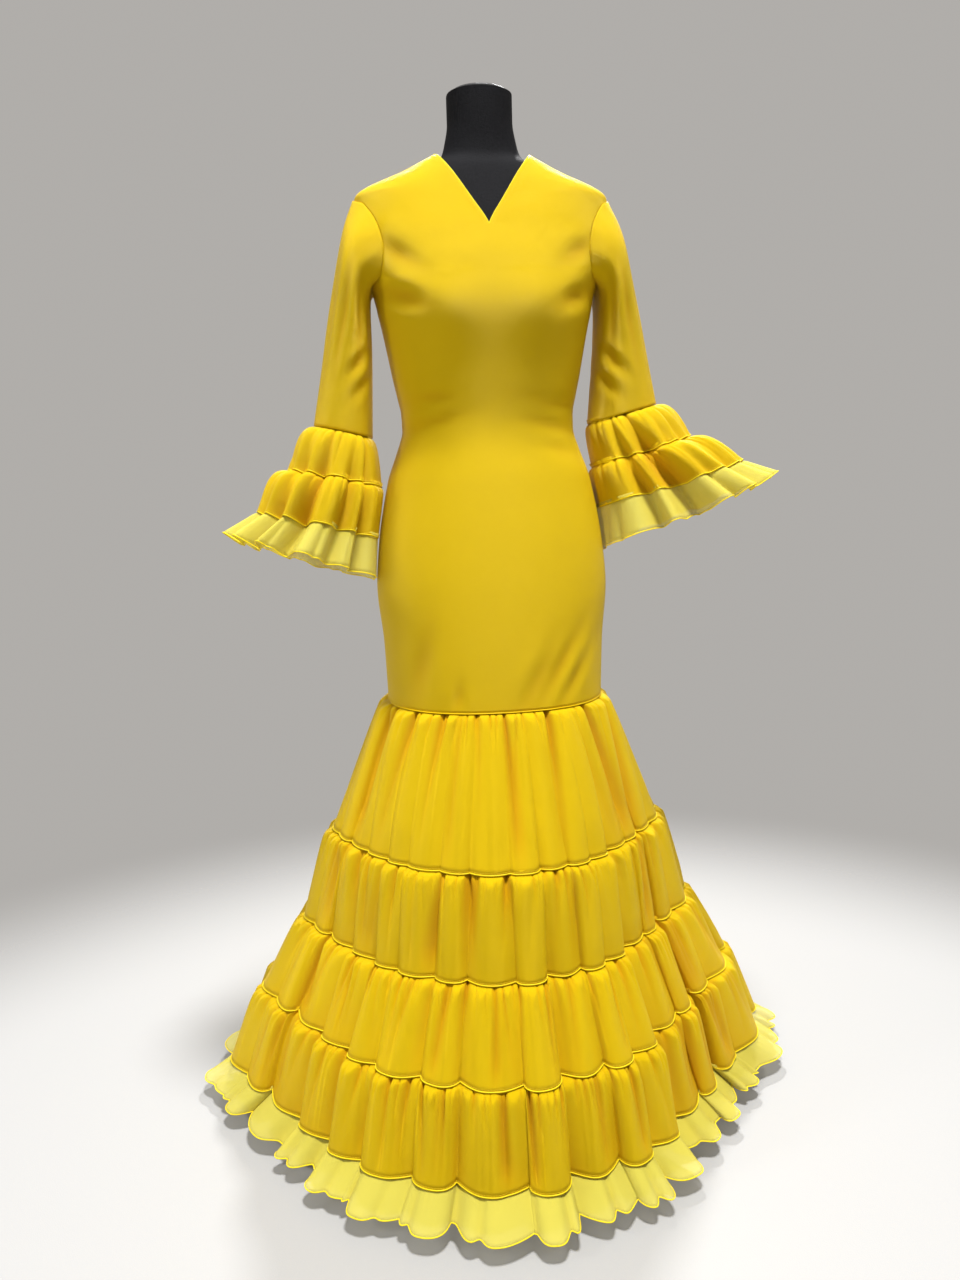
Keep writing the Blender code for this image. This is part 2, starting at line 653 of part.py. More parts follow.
def make_zip_pull():
    """The slider on the back's outer face, and its pull tab on a pin, lying down the cloth."""
    z = SLIDER["z"]
    reach = CLOTH + SEAM / 2 + SLIDER["off_cloth"]
    slope = (column(BODY, "back", z + 0.004) - column(BODY, "back", z - 0.004)) / 0.008
    lean = math.atan(-slope)
    frame = bpy.data.objects.new("slider_frame", None)
    DRESS.objects.link(frame)
    frame.location = (0.0, column(BODY, "back", z) + reach / math.cos(lean), z)
    frame.rotation_euler = (lean, 0.0, 0.0)

    thick = SLIDER["thickness"]
    body = box(
        "zip_slider",
        (SLIDER["width"], thick, SLIDER["length"]),
        (0, thick / 2, 0),
        "zip_steel",
        DRESS,
    )
    bevel = body.modifiers.new("worn_edges", "BEVEL")
    bevel.width = 0.0004
    bevel.segments = 2
    body.parent = frame
    for side in (-1, 1):
        lug = box(
            f"lug_{side}",
            (LUG["thickness"], LUG["height"], LUG["length"]),
            (side * LUG["x"], thick - 0.0004 + LUG["height"] / 2, 0),
            "zip_steel",
            CUTTERS,
        )
        lug.parent = frame
        cut_or_join(body, lug, "UNION")
    pin = bar(
        "pin", PIN["radius"], 2 * LUG["x"], (0, thick + PIN["height"], 0), "zip_steel", CUTTERS, 12
    )
    pin.parent = frame
    cut_or_join(body, pin, "UNION")

    hinge = bpy.data.objects.new("tab_hinge", None)
    DRESS.objects.link(hinge)
    hinge.parent = frame
    hinge.location = (0, thick + PIN["height"], 0)
    outline = bpy.data.curves.new("tab_outline", "CURVE")
    outline.dimensions = "2D"
    outline.fill_mode = "BOTH"
    outline.extrude = TAB["thickness"] / 2
    neck, half, length = TAB["neck"], TAB["half_width"], TAB["length"]
    points = [(-neck, 0), (neck, 0), (neck, -length * 0.25), (half, -length * 0.75)]
    for i in range(1, 8):
        turn = math.pi * i / 8
        points.append((half * math.cos(turn), -length * 0.75 - length * 0.25 * math.sin(turn)))
    points += [(-half, -length * 0.75), (-neck, -length * 0.25)]
    spline = outline.splines.new("POLY")
    spline.points.add(len(points) - 1)
    for place, (x, y) in zip(spline.points, points):
        place.co = (x, y, 0, 1)
    spline.use_cyclic_u = True
    flat = bpy.data.objects.new("tab_outline", outline)
    CUTTERS.objects.link(flat)
    graph = bpy.context.evaluated_depsgraph_get()
    mesh = bpy.data.meshes.new_from_object(flat.evaluated_get(graph))
    bpy.data.objects.remove(flat, do_unlink=True)
    shape = bmesh.new()
    shape.from_mesh(mesh)
    bmesh.ops.remove_doubles(shape, verts=shape.verts, dist=0.000001)
    bmesh.ops.rotate(shape, verts=shape.verts, matrix=Matrix.Rotation(math.pi / 2, 3, "X"))
    bmesh.ops.recalc_face_normals(shape, faces=shape.faces)
    shape.to_mesh(mesh)
    shape.free()
    mesh.materials.clear()
    tab = add_object("zip_pull_tab", mesh, "zip_steel")
    tab.parent = hinge
    eye = bar("tab_eye", TAB_EYE["radius"], 2 * neck, (0, 0, 0), "zip_steel", CUTTERS, 20)
    hole = bar("tab_hole", TAB_EYE["hole"], 4 * neck, (0, 0, 0), "zip_steel", CUTTERS, 20)
    for other, operation in ((eye, "UNION"), (hole, "DIFFERENCE")):
        other.parent = hinge
        cut_or_join(tab, other, operation)
    bpy.context.view_layer.update()
    place = hinge.matrix_world.translation
    print("pull tab hinge at", [round(v, 5) for v in place], "lean", round(lean, 4))


def main():
    make_front()
    make_backs()
    make_zip_tape()
    make_zip_pull()
    for side in ("left", "right"):
        make_sleeve(side)
        make_cuff(side)
    make_skirt()
    make_form_torso()
    make_stand()


main()
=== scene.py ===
# %% [markdown]
# # A flamenco dress on its dress form
#
# The dress is a plain fitted body over four gathered tiers and a sheer frill, with two
# gathered flounces and a frill on each elbow-length sleeve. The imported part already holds
# every piece at its size. This script gives each piece of cloth its looks: a thin shell on
# the same outline, with the folds, gathers, seams and finish of real cloth.
#
# All sizes are metres. +Z is up, the dress faces -Y, and the wearer's left is at +X.

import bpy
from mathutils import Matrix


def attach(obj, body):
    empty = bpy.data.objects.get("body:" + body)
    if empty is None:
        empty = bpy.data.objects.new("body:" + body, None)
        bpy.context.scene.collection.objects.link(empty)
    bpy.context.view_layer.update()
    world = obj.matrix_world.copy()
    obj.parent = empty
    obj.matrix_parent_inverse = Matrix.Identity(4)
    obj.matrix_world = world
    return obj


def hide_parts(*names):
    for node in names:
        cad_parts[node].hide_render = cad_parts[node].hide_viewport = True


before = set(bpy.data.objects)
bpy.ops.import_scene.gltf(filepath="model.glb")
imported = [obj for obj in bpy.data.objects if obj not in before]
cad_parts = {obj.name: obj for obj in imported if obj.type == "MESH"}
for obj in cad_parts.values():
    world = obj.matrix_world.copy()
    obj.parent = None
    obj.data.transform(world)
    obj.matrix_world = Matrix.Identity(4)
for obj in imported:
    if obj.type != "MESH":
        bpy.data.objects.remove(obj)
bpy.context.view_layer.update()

# %% [markdown]
# ## The camera
#
# The camera comes first, so that every later step can be judged from the same place. It
# stands about one and a half metres in front, a little to the wearer's right, at waist
# height, and looks down by some nine degrees. A camera could be aimed with a constraint,
# but its own three axes, worked out from the direction that it looks in, also take the
# slight roll of a camera held by hand.

# %% Place the camera
import math

import bmesh
import bpy
import numpy as np
from mathutils import Matrix, Vector

CAMERA = {"distance": 1.50, "turn": -6.0, "height": 0.99, "down": 9.4, "roll": 1.5}
CAMERA_LENS = 26.72
CAMERA_SHIFT = -0.010156


def add_camera():
    turn, down = math.radians(CAMERA["turn"]), math.radians(CAMERA["down"])
    place = Vector((math.sin(turn), -math.cos(turn), 0)) * CAMERA["distance"]
    place.z = CAMERA["height"]
    level = Vector((-place.x, -place.y, 0)).normalized()
    ahead = level * math.cos(down) - Vector((0, 0, math.sin(down)))
    right = ahead.cross(Vector((0, 0, 1))).normalized()
    axes = Matrix((right, right.cross(ahead), -ahead)).transposed()
    camera = bpy.data.objects.new("camera", bpy.data.cameras.new("camera"))
    bpy.context.scene.collection.objects.link(camera)
    rolled = axes @ Matrix.Rotation(-math.radians(CAMERA["roll"]), 3, "Z")
    camera.matrix_world = Matrix.Translation(place) @ rolled.to_4x4()
    camera.data.lens = CAMERA_LENS
    camera.data.shift_x = CAMERA_SHIFT
    bpy.context.scene.camera = camera
    bpy.context.scene.view_settings.view_transform = "Standard"
    print("camera at", [round(v, 3) for v in place])


add_camera()

# %% [markdown]
# ## Shader maths in Python
#
# A cloth's weave, its crumples and its colour are all sums and products of patterns. Each
# could be wired by hand in the node editor. Here a small class stands for one socket, so
# that an expression such as `1 - mask` adds the Math node it needs, and a material reads
# as a formula.


# %% A socket that takes part in sums
class Value:
    """A socket of a material, which Python's operators turn into Math nodes."""

    def __init__(self, finish, socket):
        self.finish = finish
        self.socket = socket

    def math(self, operation, *others):
        values = {0: self}
        for place, other in enumerate(others, start=1):
            values[place] = other
        return self.finish.node("ShaderNodeMath", {"operation": operation}, values)

    def __add__(self, other):
        return self.math("ADD", other)

    def __sub__(self, other):
        return self.math("SUBTRACT", other)

    def __mul__(self, other):
        return self.math("MULTIPLY", other)

    def __rsub__(self, other):
        return self.finish.node("ShaderNodeMath", {"operation": "SUBTRACT"}, {0: other, 1: self})

    __radd__ = __add__
    __rmul__ = __mul__

    def sine(self):
        return self.math("SINE")

    def size(self):
        return self.math("ABSOLUTE")

    def clamped(self):
        return self.finish.node("ShaderNodeClamp", {}, {"Value": self})


class Finish:
    """One material, with the few calls that its formula needs."""

    def __init__(self, name):
        self.material = bpy.data.materials.new(name)
        self.material.use_nodes = True
        self.tree = self.material.node_tree
        self.shader = self.tree.nodes["Principled BSDF"]

    def node(self, kind, settings, values, out=0):
        """A node of a kind, with its settings first and then its sockets' values or links."""
        made = self.tree.nodes.new(kind)
        for name, setting in settings.items():
            setattr(made, name, setting)
        for socket, value in values.items():
            self.put(made.inputs[socket], value)
        return Value(self, made.outputs[out])

    def put(self, socket, value):
        if isinstance(value, Value):
            self.tree.links.new(value.socket, socket)
        else:
            socket.default_value = value

    def set(self, **values):
        """Values or links for the shader's own sockets, with _ for a space in a name."""
        for name, value in values.items():
            self.put(self.shader.inputs[name.replace("_", " ")], value)
        return self

    def place(self):
        return self.node("ShaderNodeTexCoord", {}, {}, out="Object")

    def axes(self, vector):
        """A vector's three numbers."""
        split = self.node("ShaderNodeSeparateXYZ", {}, {0: vector}).socket.node
        return [Value(self, socket) for socket in split.outputs]

    def along_cloth(self):
        """The cloth's own two directions, in metres, from its UV map."""
        return self.axes(self.node("ShaderNodeUVMap", {"uv_map": "cloth"}, {}))[:2]

    def attribute(self, name):
        return self.node("ShaderNodeAttribute", {"attribute_name": name}, {}, out="Fac")

    def noise(self, scale, detail=2.0, vector=None):
        values = {"Vector": vector or self.place(), "Scale": scale, "Detail": detail}
        return self.node("ShaderNodeTexNoise", {}, values)

    def mix(self, factor, first, second):
        """A colour between two colours."""
        values = {"Factor": factor, "A": first, "B": second}
        made = self.tree.nodes.new("ShaderNodeMix")
        made.data_type = "RGBA"
        for name, value in values.items():
            sockets = [s for s in made.inputs if s.name == name and s.enabled]
            self.put(sockets[0], value)
        return Value(self, [s for s in made.outputs if s.enabled][0])

    def bump(self, height, distance, strength=1.0):
        values = {"Height": height, "Distance": distance, "Strength": strength}
        return self.node("ShaderNodeBump", {}, values)


# %% [markdown]
# ## The finishes
#
# The yellow cloth is a close satin-back cotton: two sets of fine threads at right angles,
# slightly uneven, with small soft dents where it has been folded. Its colour deepens to
# orange down in the folds, because light bounces there from cloth to cloth. The renderer
# works out most of that, and painted shade adds the rest: a stored fold weight mixes the
# colour towards a darker orange down in the folds. The finest fuzz is left to the sheen.


# %% The yellow cloth
YELLOW = (0.83, 0.555, 0.003, 1.0)
# The darker orange below is painted shade, the colour that the folds are mixed towards; the zip
# tape's darker ribs use it too.
YELLOW_SHADE_AND_RIB = (0.70, 0.32, 0.002, 1.0)
YELLOW_WORN = (0.86, 0.61, 0.006, 1.0)
THREAD = 0.00045  # from one thread of the cloth to the next


def weave_height(finish, pitch):
    """The height of a plain weave: threads over and under each other."""
    across, down = finish.along_cloth()
    turn = 2 * math.pi / pitch
    return (across * turn).sine() * (down * turn).sine()


def cloth_finish():
    finish = Finish("yellow_satin")
    across, down = finish.along_cloth()
    slub = finish.node("ShaderNodeCombineXYZ", {}, {"X": across * 900.0, "Y": down * 12.0})
    streaks = finish.noise(1.0, 2.0, slub)
    dents = finish.noise(11.0, 3.0)
    fine_dents = finish.noise(42.0, 2.0)
    shade = finish.noise(4.0, 2.0)
    # Painted shade: the stored fold weight mixes the cloth towards a darker orange in its folds and
    # tuck creases.
    deep = (finish.attribute("fold_shade_weight") * 0.75).clamped()
    colour = finish.mix(deep, YELLOW, YELLOW_SHADE_AND_RIB)
    colour = finish.mix((shade - 0.35) * 0.35 + streaks * 0.08, colour, YELLOW_WORN)
    height = weave_height(finish, THREAD) * 0.04 + streaks * 0.05 + dents * 1.0 + fine_dents * 0.10
    finish.set(
        Base_Color=colour,
        Roughness=0.36 + streaks * 0.10 + shade * 0.08,
        Normal=finish.bump(height, 0.0040),
        Sheen_Weight=0.08,
        Sheen_Roughness=0.45,
        Sheen_Tint=(1.0, 0.80, 0.10, 1.0),
        Specular_IOR_Level=0.40,
        Specular_Tint=(1.0, 0.82, 0.16, 1.0),
    )
    return finish.material


CLOTH_FINISH = cloth_finish()

# %% [markdown]
# The frills are organza: crisp and sheer, so that whatever is behind shows through the
# gaps between its threads. Cutting real holes would take millions of faces. Instead the
# Alpha of the shader lets about half of the light pass, more between the threads.


# %% The organza and the rolled edges
ORGANZA = (0.90, 0.80, 0.115, 1.0)
# The darker yellow below is the painted shade in the organza's folds.
ORGANZA_SHADE = (0.78, 0.62, 0.050, 1.0)
EDGE_YELLOW = (0.97, 0.82, 0.020, 1.0)


def organza_finish():
    finish = Finish("yellow_organza")
    across, down = finish.along_cloth()
    threads = weave_height(finish, 0.0009)
    cloudy = finish.noise(9.0, 2.0)
    # Painted shade: the stored fold weight mixes the organza towards a darker yellow in its folds
    # and makes it less see-through there.
    deep = (finish.attribute("fold_shade_weight") * 0.6).clamped()
    finish.set(
        Base_Color=finish.mix(deep, ORGANZA, ORGANZA_SHADE),
        Alpha=(0.50 + threads * 0.05 + (cloudy - 0.5) * 0.16 + deep * 0.20).clamped(),
        Roughness=0.42 + cloudy * 0.1,
        Normal=finish.bump(threads * 0.05 + cloudy, 0.0025),
        Sheen_Weight=0.10,
        Sheen_Roughness=0.35,
        Sheen_Tint=(1.0, 0.90, 0.40, 1.0),
        Specular_Tint=(1.0, 0.92, 0.50, 1.0),
    )
    return finish.material


def edge_finish():
    """The thread wound over the edge of a frill or a tier."""
    finish = Finish("edge_thread")
    wound = finish.noise(900.0, 1.0)
    finish.set(
        Base_Color=finish.mix(wound, EDGE_YELLOW, YELLOW_WORN),
        Roughness=0.40 + wound * 0.15,
        Normal=finish.bump(wound, 0.0002),
        Specular_Tint=(1.0, 0.90, 0.30, 1.0),
    )
    return finish.material


def thread_finish():
    finish = Finish("sewing_thread")
    twist = finish.noise(1400.0, 1.0)
    finish.set(
        Base_Color=finish.mix(twist, EDGE_YELLOW, YELLOW),
        Roughness=0.45 + twist * 0.2,
        Normal=finish.bump(twist, 0.0001),
    )
    return finish.material


ORGANZA_FINISH = organza_finish()
EDGE_FINISH = edge_finish()
THREAD_FINISH = thread_finish()

# %% [markdown]
# The form is a hard shell under close black jersey, and its stand is painted metal. The
# zip has a woven tape and a satin steel slider with fine brush marks across it.


# %% The form, the stand and the zip
def jersey_finish():
    """Fine ribs of knitted loops, read from the form's own place."""
    finish = Finish("black_jersey")
    east, north, up = finish.axes(finish.place())
    loops = ((east + north) * 4200.0).sine() * (up * 5200.0).sine()
    lint = finish.noise(260.0, 2.0)
    finish.set(
        Base_Color=finish.mix(lint, (0.003, 0.003, 0.004, 1.0), (0.011, 0.011, 0.013, 1.0)),
        Roughness=0.62 + lint * 0.2,
        Normal=finish.bump(loops * 0.3 + lint, 0.0004),
        Specular_IOR_Level=0.08,
    )
    return finish.material


def paint_finish():
    finish = Finish("black_paint")
    peel = finish.noise(420.0, 2.0)
    wear = finish.noise(18.0, 3.0)
    finish.set(
        Base_Color=finish.mix(wear, (0.014, 0.014, 0.016, 1.0), (0.032, 0.031, 0.030, 1.0)),
        Roughness=0.30 + wear * 0.22,
        Normal=finish.bump(peel, 0.0002),
        Coat_Roughness=0.2,
    )
    return finish.material


def steel_finish():
    finish = Finish("satin_steel")
    place = finish.node(
        "ShaderNodeMapping", {}, {"Vector": finish.place(), "Scale": (9000.0, 900.0, 900.0)}
    )
    marks = finish.noise(1.0, 2.0, place)
    finish.set(
        Base_Color=finish.mix(marks, (0.50, 0.49, 0.47, 1.0), (0.72, 0.71, 0.69, 1.0)),
        Metallic=1.0,
        Roughness=0.24 + marks * 0.2,
        Normal=finish.bump(marks, 0.00003),
    )
    return finish.material


def tape_finish():
    """Herringbone: slanting ribs that turn back at the middle of the tape."""
    finish = Finish("zip_tape_weave")
    across, _, up = finish.axes(finish.place())
    ribs = ((across.size() + up) * (2 * math.pi / 0.0009)).sine()
    finish.set(
        Base_Color=finish.mix(ribs * 0.5 + 0.5, YELLOW_SHADE_AND_RIB, YELLOW),
        Roughness=0.55 + ribs * 0.1,
        Normal=finish.bump(ribs, 0.0002),
    )
    return finish.material


def repaint(names, material):
    for name in names:
        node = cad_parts[name]
        node.data.materials.clear()
        node.data.materials.append(material)


JERSEY = jersey_finish()
STEEL = steel_finish()
repaint(["form_neck_cap", "form_pole", "form_base"], paint_finish())
repaint(["zip_slider", "zip_pull_tab"], STEEL)
repaint(["zip_tape"], tape_finish())
print(len(bpy.data.materials), "materials")

# %% [markdown]
# ## Cloth as a grid of points
#
# Each piece of cloth could be simulated, but a dress with four gathered tiers has so many
# small folds that a simulation fine enough to hold them would take an hour. Here each
# piece is a grid of points worked out by a rule: the outline gives its place, and folds
# push it in. The same grid gives the UV map, in metres along the cloth, and the depth of
# the folds, which the finish reads.


# %% Turn a grid of points into a thin piece of cloth
CLOTH_THICK = 0.0005
ORGANZA_THICK = 0.0003


def add_object(name, mesh, material):
    made = bpy.data.objects.new(name, mesh)
    bpy.context.scene.collection.objects.link(made)
    mesh.materials.clear()
    mesh.materials.append(material)
    mesh.shade_smooth()
    return made


def lengths(points, axis, closed=False):
    """How far each point is along its row or its column, and the whole length."""
    steps = np.linalg.norm(np.diff(points, axis=axis), axis=2)
    along = np.cumsum(steps, axis=axis)
    start = np.zeros_like(np.take(along, [0], axis=axis))
    along = np.concatenate([start, along], axis=axis)
    total = np.take(along, -1, axis=axis)
    if closed:
        total = total + np.linalg.norm(points[:, 0] - points[:, -1], axis=1)
    return along, total


def cloth_grid(points, closed, slit):
    """A grid's faces, its UVs by corner, and its width and length. Its rows run down the cloth."""
    rows, columns = points.shape[:2]
    across, widths = lengths(points, 1, closed)
    down, heights = lengths(points, 0)
    wide = int(np.argmax(widths))
    u_line = np.append(across[wide], widths[wide]) if closed else across[wide]
    v_line = down[:, int(np.argmax(heights))]
    faces, uvs = [], []
    last = columns if closed else columns - 1
    for r in range(rows - 1):
        here, below = r * columns, (r + 1) * columns
        for c in range(last):
            if c == slit:
                continue
            d = (c + 1) % columns
            faces.append((here + c, below + c, below + d, here + d))
            uvs.append(((c, r), (c, r + 1), (c + 1, r + 1), (c + 1, r)))
    uvs = np.array(uvs).reshape(-1, 2)
    uv = np.stack([u_line[uvs[:, 0]], v_line[uvs[:, 1]]], axis=1)
    return faces, uv, float(widths.max()), float(heights.max())


def make_cloth(name, points, depth, material, thick, closed=True, slit=None):
    """A thin shell through a grid of points, and the width and length of its cut.

    slit: the column after which the cloth is open, wherever its two edges don't meet.
    """
    faces, uv, width, length = cloth_grid(points, closed, slit)
    mesh = bpy.data.meshes.new(name)
    mesh.from_pydata(points.reshape(-1, 3), [], faces)
    layer = mesh.uv_layers.new(name="cloth")
    layer.data.foreach_set("uv", uv.astype(np.float32).ravel())
    # The fold weight is stored on each point for the finishes, which paint shade with it.
    fold = mesh.attributes.new("fold_shade_weight", "FLOAT", "POINT")
    fold.data.foreach_set("value", depth.astype(np.float32).ravel())
    if slit is not None:
        whole = bmesh.new()
        whole.from_mesh(mesh)
        bmesh.ops.remove_doubles(whole, verts=whole.verts, dist=0.00005)
        whole.to_mesh(mesh)
        whole.free()
    made = add_object(name, mesh, material)
    wall = made.modifiers.new("thickness", "SOLIDIFY")
    wall.thickness = thick
    wall.offset = 0.0
    area = sum(face.area for face in mesh.polygons)
    print(f"{name}: {len(faces)} faces, cut {width:.3f} x {length:.3f} m, {area:.3f} square m")
    return made, {"width": width, "length": length, "area": area}


# %% [markdown]
# ## The outline of the body
#
# The body's outline is a short table of half widths and depths by height, and each level
# is an oval slightly fuller than an ellipse. A smooth curve that never overshoots runs
# through the table's rows. These are the numbers of the part's own wall, but for
# one row between the shoulder blades, which is 2.5 mm slimmer so that no ridge shows there.


# %% The body's table and its smooth curve
def table(names, *rows):
    """Rows of numbers as dictionaries, with a name for each column."""
    return [dict(zip(names.split(), row)) for row in rows]


SQUARENESS = 2.3
BODY = table(
    "z half_width front back",
    (0.657, 0.1680, 0.144, 0.152),  # hip seam
    (0.748, 0.1710, 0.140, 0.154),
    (0.832, 0.1780, 0.134, 0.154),  # fullest hip
    (0.896, 0.1730, 0.127, 0.144),
    (0.991, 0.1555, 0.113, 0.116),
    (1.080, 0.1290, 0.099, 0.093),  # waist
    (1.150, 0.1410, 0.106, 0.094),
    (1.240, 0.1580, 0.117, 0.102),  # bust
    (1.300, 0.1720, 0.108, 0.106),
    (1.350, 0.1850, 0.092, 0.0995),
    (1.402, 0.1860, 0.072, 0.084),  # shoulder tip
    (1.440, 0.1130, 0.058, 0.066),
    (1.462, 0.0700, 0.050, 0.056),  # neck point
)
BUST = {"x": 0.074, "z": 1.238, "across": 0.048, "tall": 0.055, "out": 0.010}


def smooth_curve(at, places, values):
    """A curve through values at rising places, which never overshoots them."""
    at, places, values = np.asarray(at, float), np.asarray(places, float), np.asarray(values, float)
    steps = np.diff(values) / np.diff(places)
    slopes = np.concatenate([steps[:1], np.zeros(len(steps) - 1), steps[-1:]])
    product = steps[:-1] * steps[1:]
    rising = product > 0
    slopes[1:-1][rising] = 2 * product[rising] / (steps[:-1] + steps[1:])[rising]
    row = np.clip(np.searchsorted(places, at) - 1, 0, len(steps) - 1)
    span = places[row + 1] - places[row]
    s = np.clip((at - places[row]) / span, 0, 1)
    return (
        (2 * s**3 - 3 * s**2 + 1) * values[row]
        + (s**3 - 2 * s**2 + s) * slopes[row] * span
        + (3 * s**2 - 2 * s**3) * values[row + 1]
        + (s**3 - s**2) * slopes[row + 1] * span
    )


def body_size(name, z):
    return smooth_curve(z, [row["z"] for row in BODY], [row[name] for row in BODY])


def signed_power(value, power):
    return np.sign(value) * np.abs(value) ** power


def angle_at(x, half_width):
    """The angle at which an oval of this half width reaches x."""
    return np.arcsin(np.clip(np.asarray(x) / half_width, 0, 1) ** (SQUARENESS / 2))


def oval(angle, half_width, front, back):
    """The x and y of a full oval at angles from the front towards +X."""
    along = signed_power(np.cos(angle), 2 / SQUARENESS)
    x = half_width * signed_power(np.sin(angle), 2 / SQUARENESS)
    return x, -np.where(along > 0, front, back) * along


def body_points(angle, z, grow=0.0):
    """Points of the body at angles from the front towards +X, and at heights."""
    x, y = oval(angle, *(body_size(name, z) + grow for name in ("half_width", "front", "back")))
    away = ((np.abs(x) - BUST["x"]) / BUST["across"]) ** 2 + ((z - BUST["z"]) / BUST["tall"]) ** 2
    bust = np.where(np.cos(angle) > 0, BUST["out"] * np.exp(-away) * np.cos(angle), 0.0)
    return np.stack([x, y - bust, z + 0 * x], axis=-1)


def surface_normals(points, closed=False):
    """The outward direction at each point of a grid whose rows run down the cloth."""
    if closed:
        wide = np.concatenate([points[:, -1:], points, points[:, :1]], axis=1)
        across = (wide[:, 2:] - wide[:, :-2]) / 2
    else:
        across = np.gradient(points, axis=1)
    down = np.gradient(points, axis=0)
    normal = np.cross(down, across)
    return normal / np.maximum(np.linalg.norm(normal, axis=2, keepdims=True), 1e-9)


# %% [markdown]
# ## The fitted body: front and two backs
#
# A maker cuts the front in one piece on the fold, and the back in two pieces with a zip
# between them. Each half panel has a row at every height, from the centre to the side
# seam, and above the underarm from the neckline to the armhole. Close-fitting cloth is
# not quite smooth: it draws in at the waist and slants up from the hip seam. Those soft
# troughs are placed one by one, and the back has its own.

# %% Build the body panels
CLOTH_WALL = 0.0015  # the part's wall, whose outer face is the cloth that shows
SEAM = 0.0004
ZIP_SLIT = 0.0004
ARMHOLE = table(
    "z x",
    (1.270, 0.1645),  # underarm
    (1.285, 0.1530),
    (1.312, 0.1480),
    (1.342, 0.1500),
    (1.370, 0.1600),
    (1.390, 0.1730),
    (1.402, 0.1860),  # shoulder tip
)
PLAIN_ROWS = [0.657, 0.705, 0.760, 0.832, 0.896, 0.945, 0.991, 1.035, 1.080, 1.150, 1.210, 1.270]
FRONT_NECKLINE = table(
    "x z",
    (0.0000, 1.290),
    (0.0000, 1.320),
    (0.0000, 1.348),  # foot of the V
    (0.0230, 1.388),
    (0.0460, 1.426),
    (0.0700, 1.462),  # neck point
)
BACK_NECKLINE = table(
    "x z",
    (0.0000, 1.300),
    (0.0000, 1.336),
    (0.0000, 1.372),
    (0.0000, 1.408),
    (0.0000, 1.438),  # nape
    (0.0700, 1.462),  # neck point
)
ROWS_BETWEEN = 6
PANEL_COLUMNS = 48
# A trough's depth is kept as the weight of painted shade: at this depth the shade is full.
DEEPEST = 0.006  # a trough this deep has the finish's full fold colour
# Soft troughs in the fitted cloth: from one place (x, z) to another, how deep, how wide.
FRONT_TROUGHS = table(
    "x0 z0 x1 z1 deep wide",
    (0.030, 0.664, 0.085, 0.760, 0.0033, 0.012), (0.058, 0.668, 0.118, 0.770, 0.0045, 0.010),
    (0.088, 0.668, 0.132, 0.735, 0.0036, 0.009), (-0.070, 0.664, -0.062, 0.700, 0.0024, 0.008),
    (-0.130, 0.675, -0.105, 0.780, 0.0024, 0.014), (-0.125, 1.070, -0.030, 1.094, 0.0022, 0.009),
    (-0.120, 1.108, -0.050, 1.118, 0.0030, 0.008), (0.122, 1.062, 0.040, 1.082, 0.0020, 0.009),
    (0.124, 1.098, 0.030, 1.112, 0.0018, 0.008), (0.120, 1.030, 0.070, 1.046, 0.0014, 0.010),
    (-0.148, 1.262, -0.090, 1.238, 0.0042, 0.011), (0.148, 1.262, 0.092, 1.236, 0.0039, 0.011),
    (-0.150, 1.330, -0.100, 1.290, 0.0030, 0.012), (0.150, 1.330, 0.104, 1.296, 0.0030, 0.012),
)
BACK_TROUGHS = table(
    "x0 z0 x1 z1 deep wide",
    (-0.118, 1.066, -0.012, 1.092, 0.0048, 0.009), (-0.110, 1.100, -0.020, 1.122, 0.0036, 0.009),
    (-0.100, 1.040, -0.030, 1.058, 0.0028, 0.009), (0.118, 1.070, 0.014, 1.086, 0.0045, 0.009),
    (0.112, 1.108, 0.018, 1.116, 0.0034, 0.009), (0.104, 1.034, 0.026, 1.052, 0.0031, 0.010),
    (-0.060, 0.664, -0.082, 0.742, 0.0031, 0.012), (0.050, 0.664, 0.092, 0.750, 0.0036, 0.012),
    (0.105, 0.668, 0.136, 0.730, 0.0028, 0.010), (-0.146, 1.300, -0.090, 1.280, 0.0034, 0.012),
    (0.146, 1.300, 0.094, 1.276, 0.0034, 0.012),
)


def through(knots, between):
    """A smooth path through rows of numbers, with more rows between each two."""
    knots = np.asarray(knots, float)
    ends = np.concatenate([knots[:1], knots, knots[-1:]])
    path = []
    for a, b, c, d in zip(ends, ends[1:], ends[2:], ends[3:]):
        for s in np.linspace(0, 1, between, endpoint=False):
            bend = (2 * a - 5 * b + 4 * c - d) + s * (3 * b - 3 * c + d - a)
            path.append(b + 0.5 * s * ((c - a) + s * bend))
    path.append(knots[-1])
    return np.array(path)


def panel_edges(neckline, inset):
    """By row: the x and z of a half panel's inner edge, and the angle and z of its outer."""
    knots = [(inset, z, math.pi / 2, z) for z in PLAIN_ROWS]
    for inner, outer in zip(neckline[:-1], ARMHOLE[1:-1]):
        angle = float(angle_at(outer["x"], body_size("half_width", outer["z"])))
        knots.append((max(inner["x"], inset), inner["z"], angle, outer["z"]))
    ridge = (neckline[-1]["x"], neckline[-1]["z"], math.pi / 2, ARMHOLE[-1]["z"])
    path = through(knots, ROWS_BETWEEN)
    last = path[-1]
    steps = np.linspace(0, 1, 2 * ROWS_BETWEEN + 1)[1:]
    path = np.concatenate([path, [last + (np.array(ridge) - last) * s for s in steps]])
    path[:, 0] = np.maximum(path[:, 0], inset)
    path[:, 2] = np.minimum(path[:, 2], math.pi / 2)
    return path


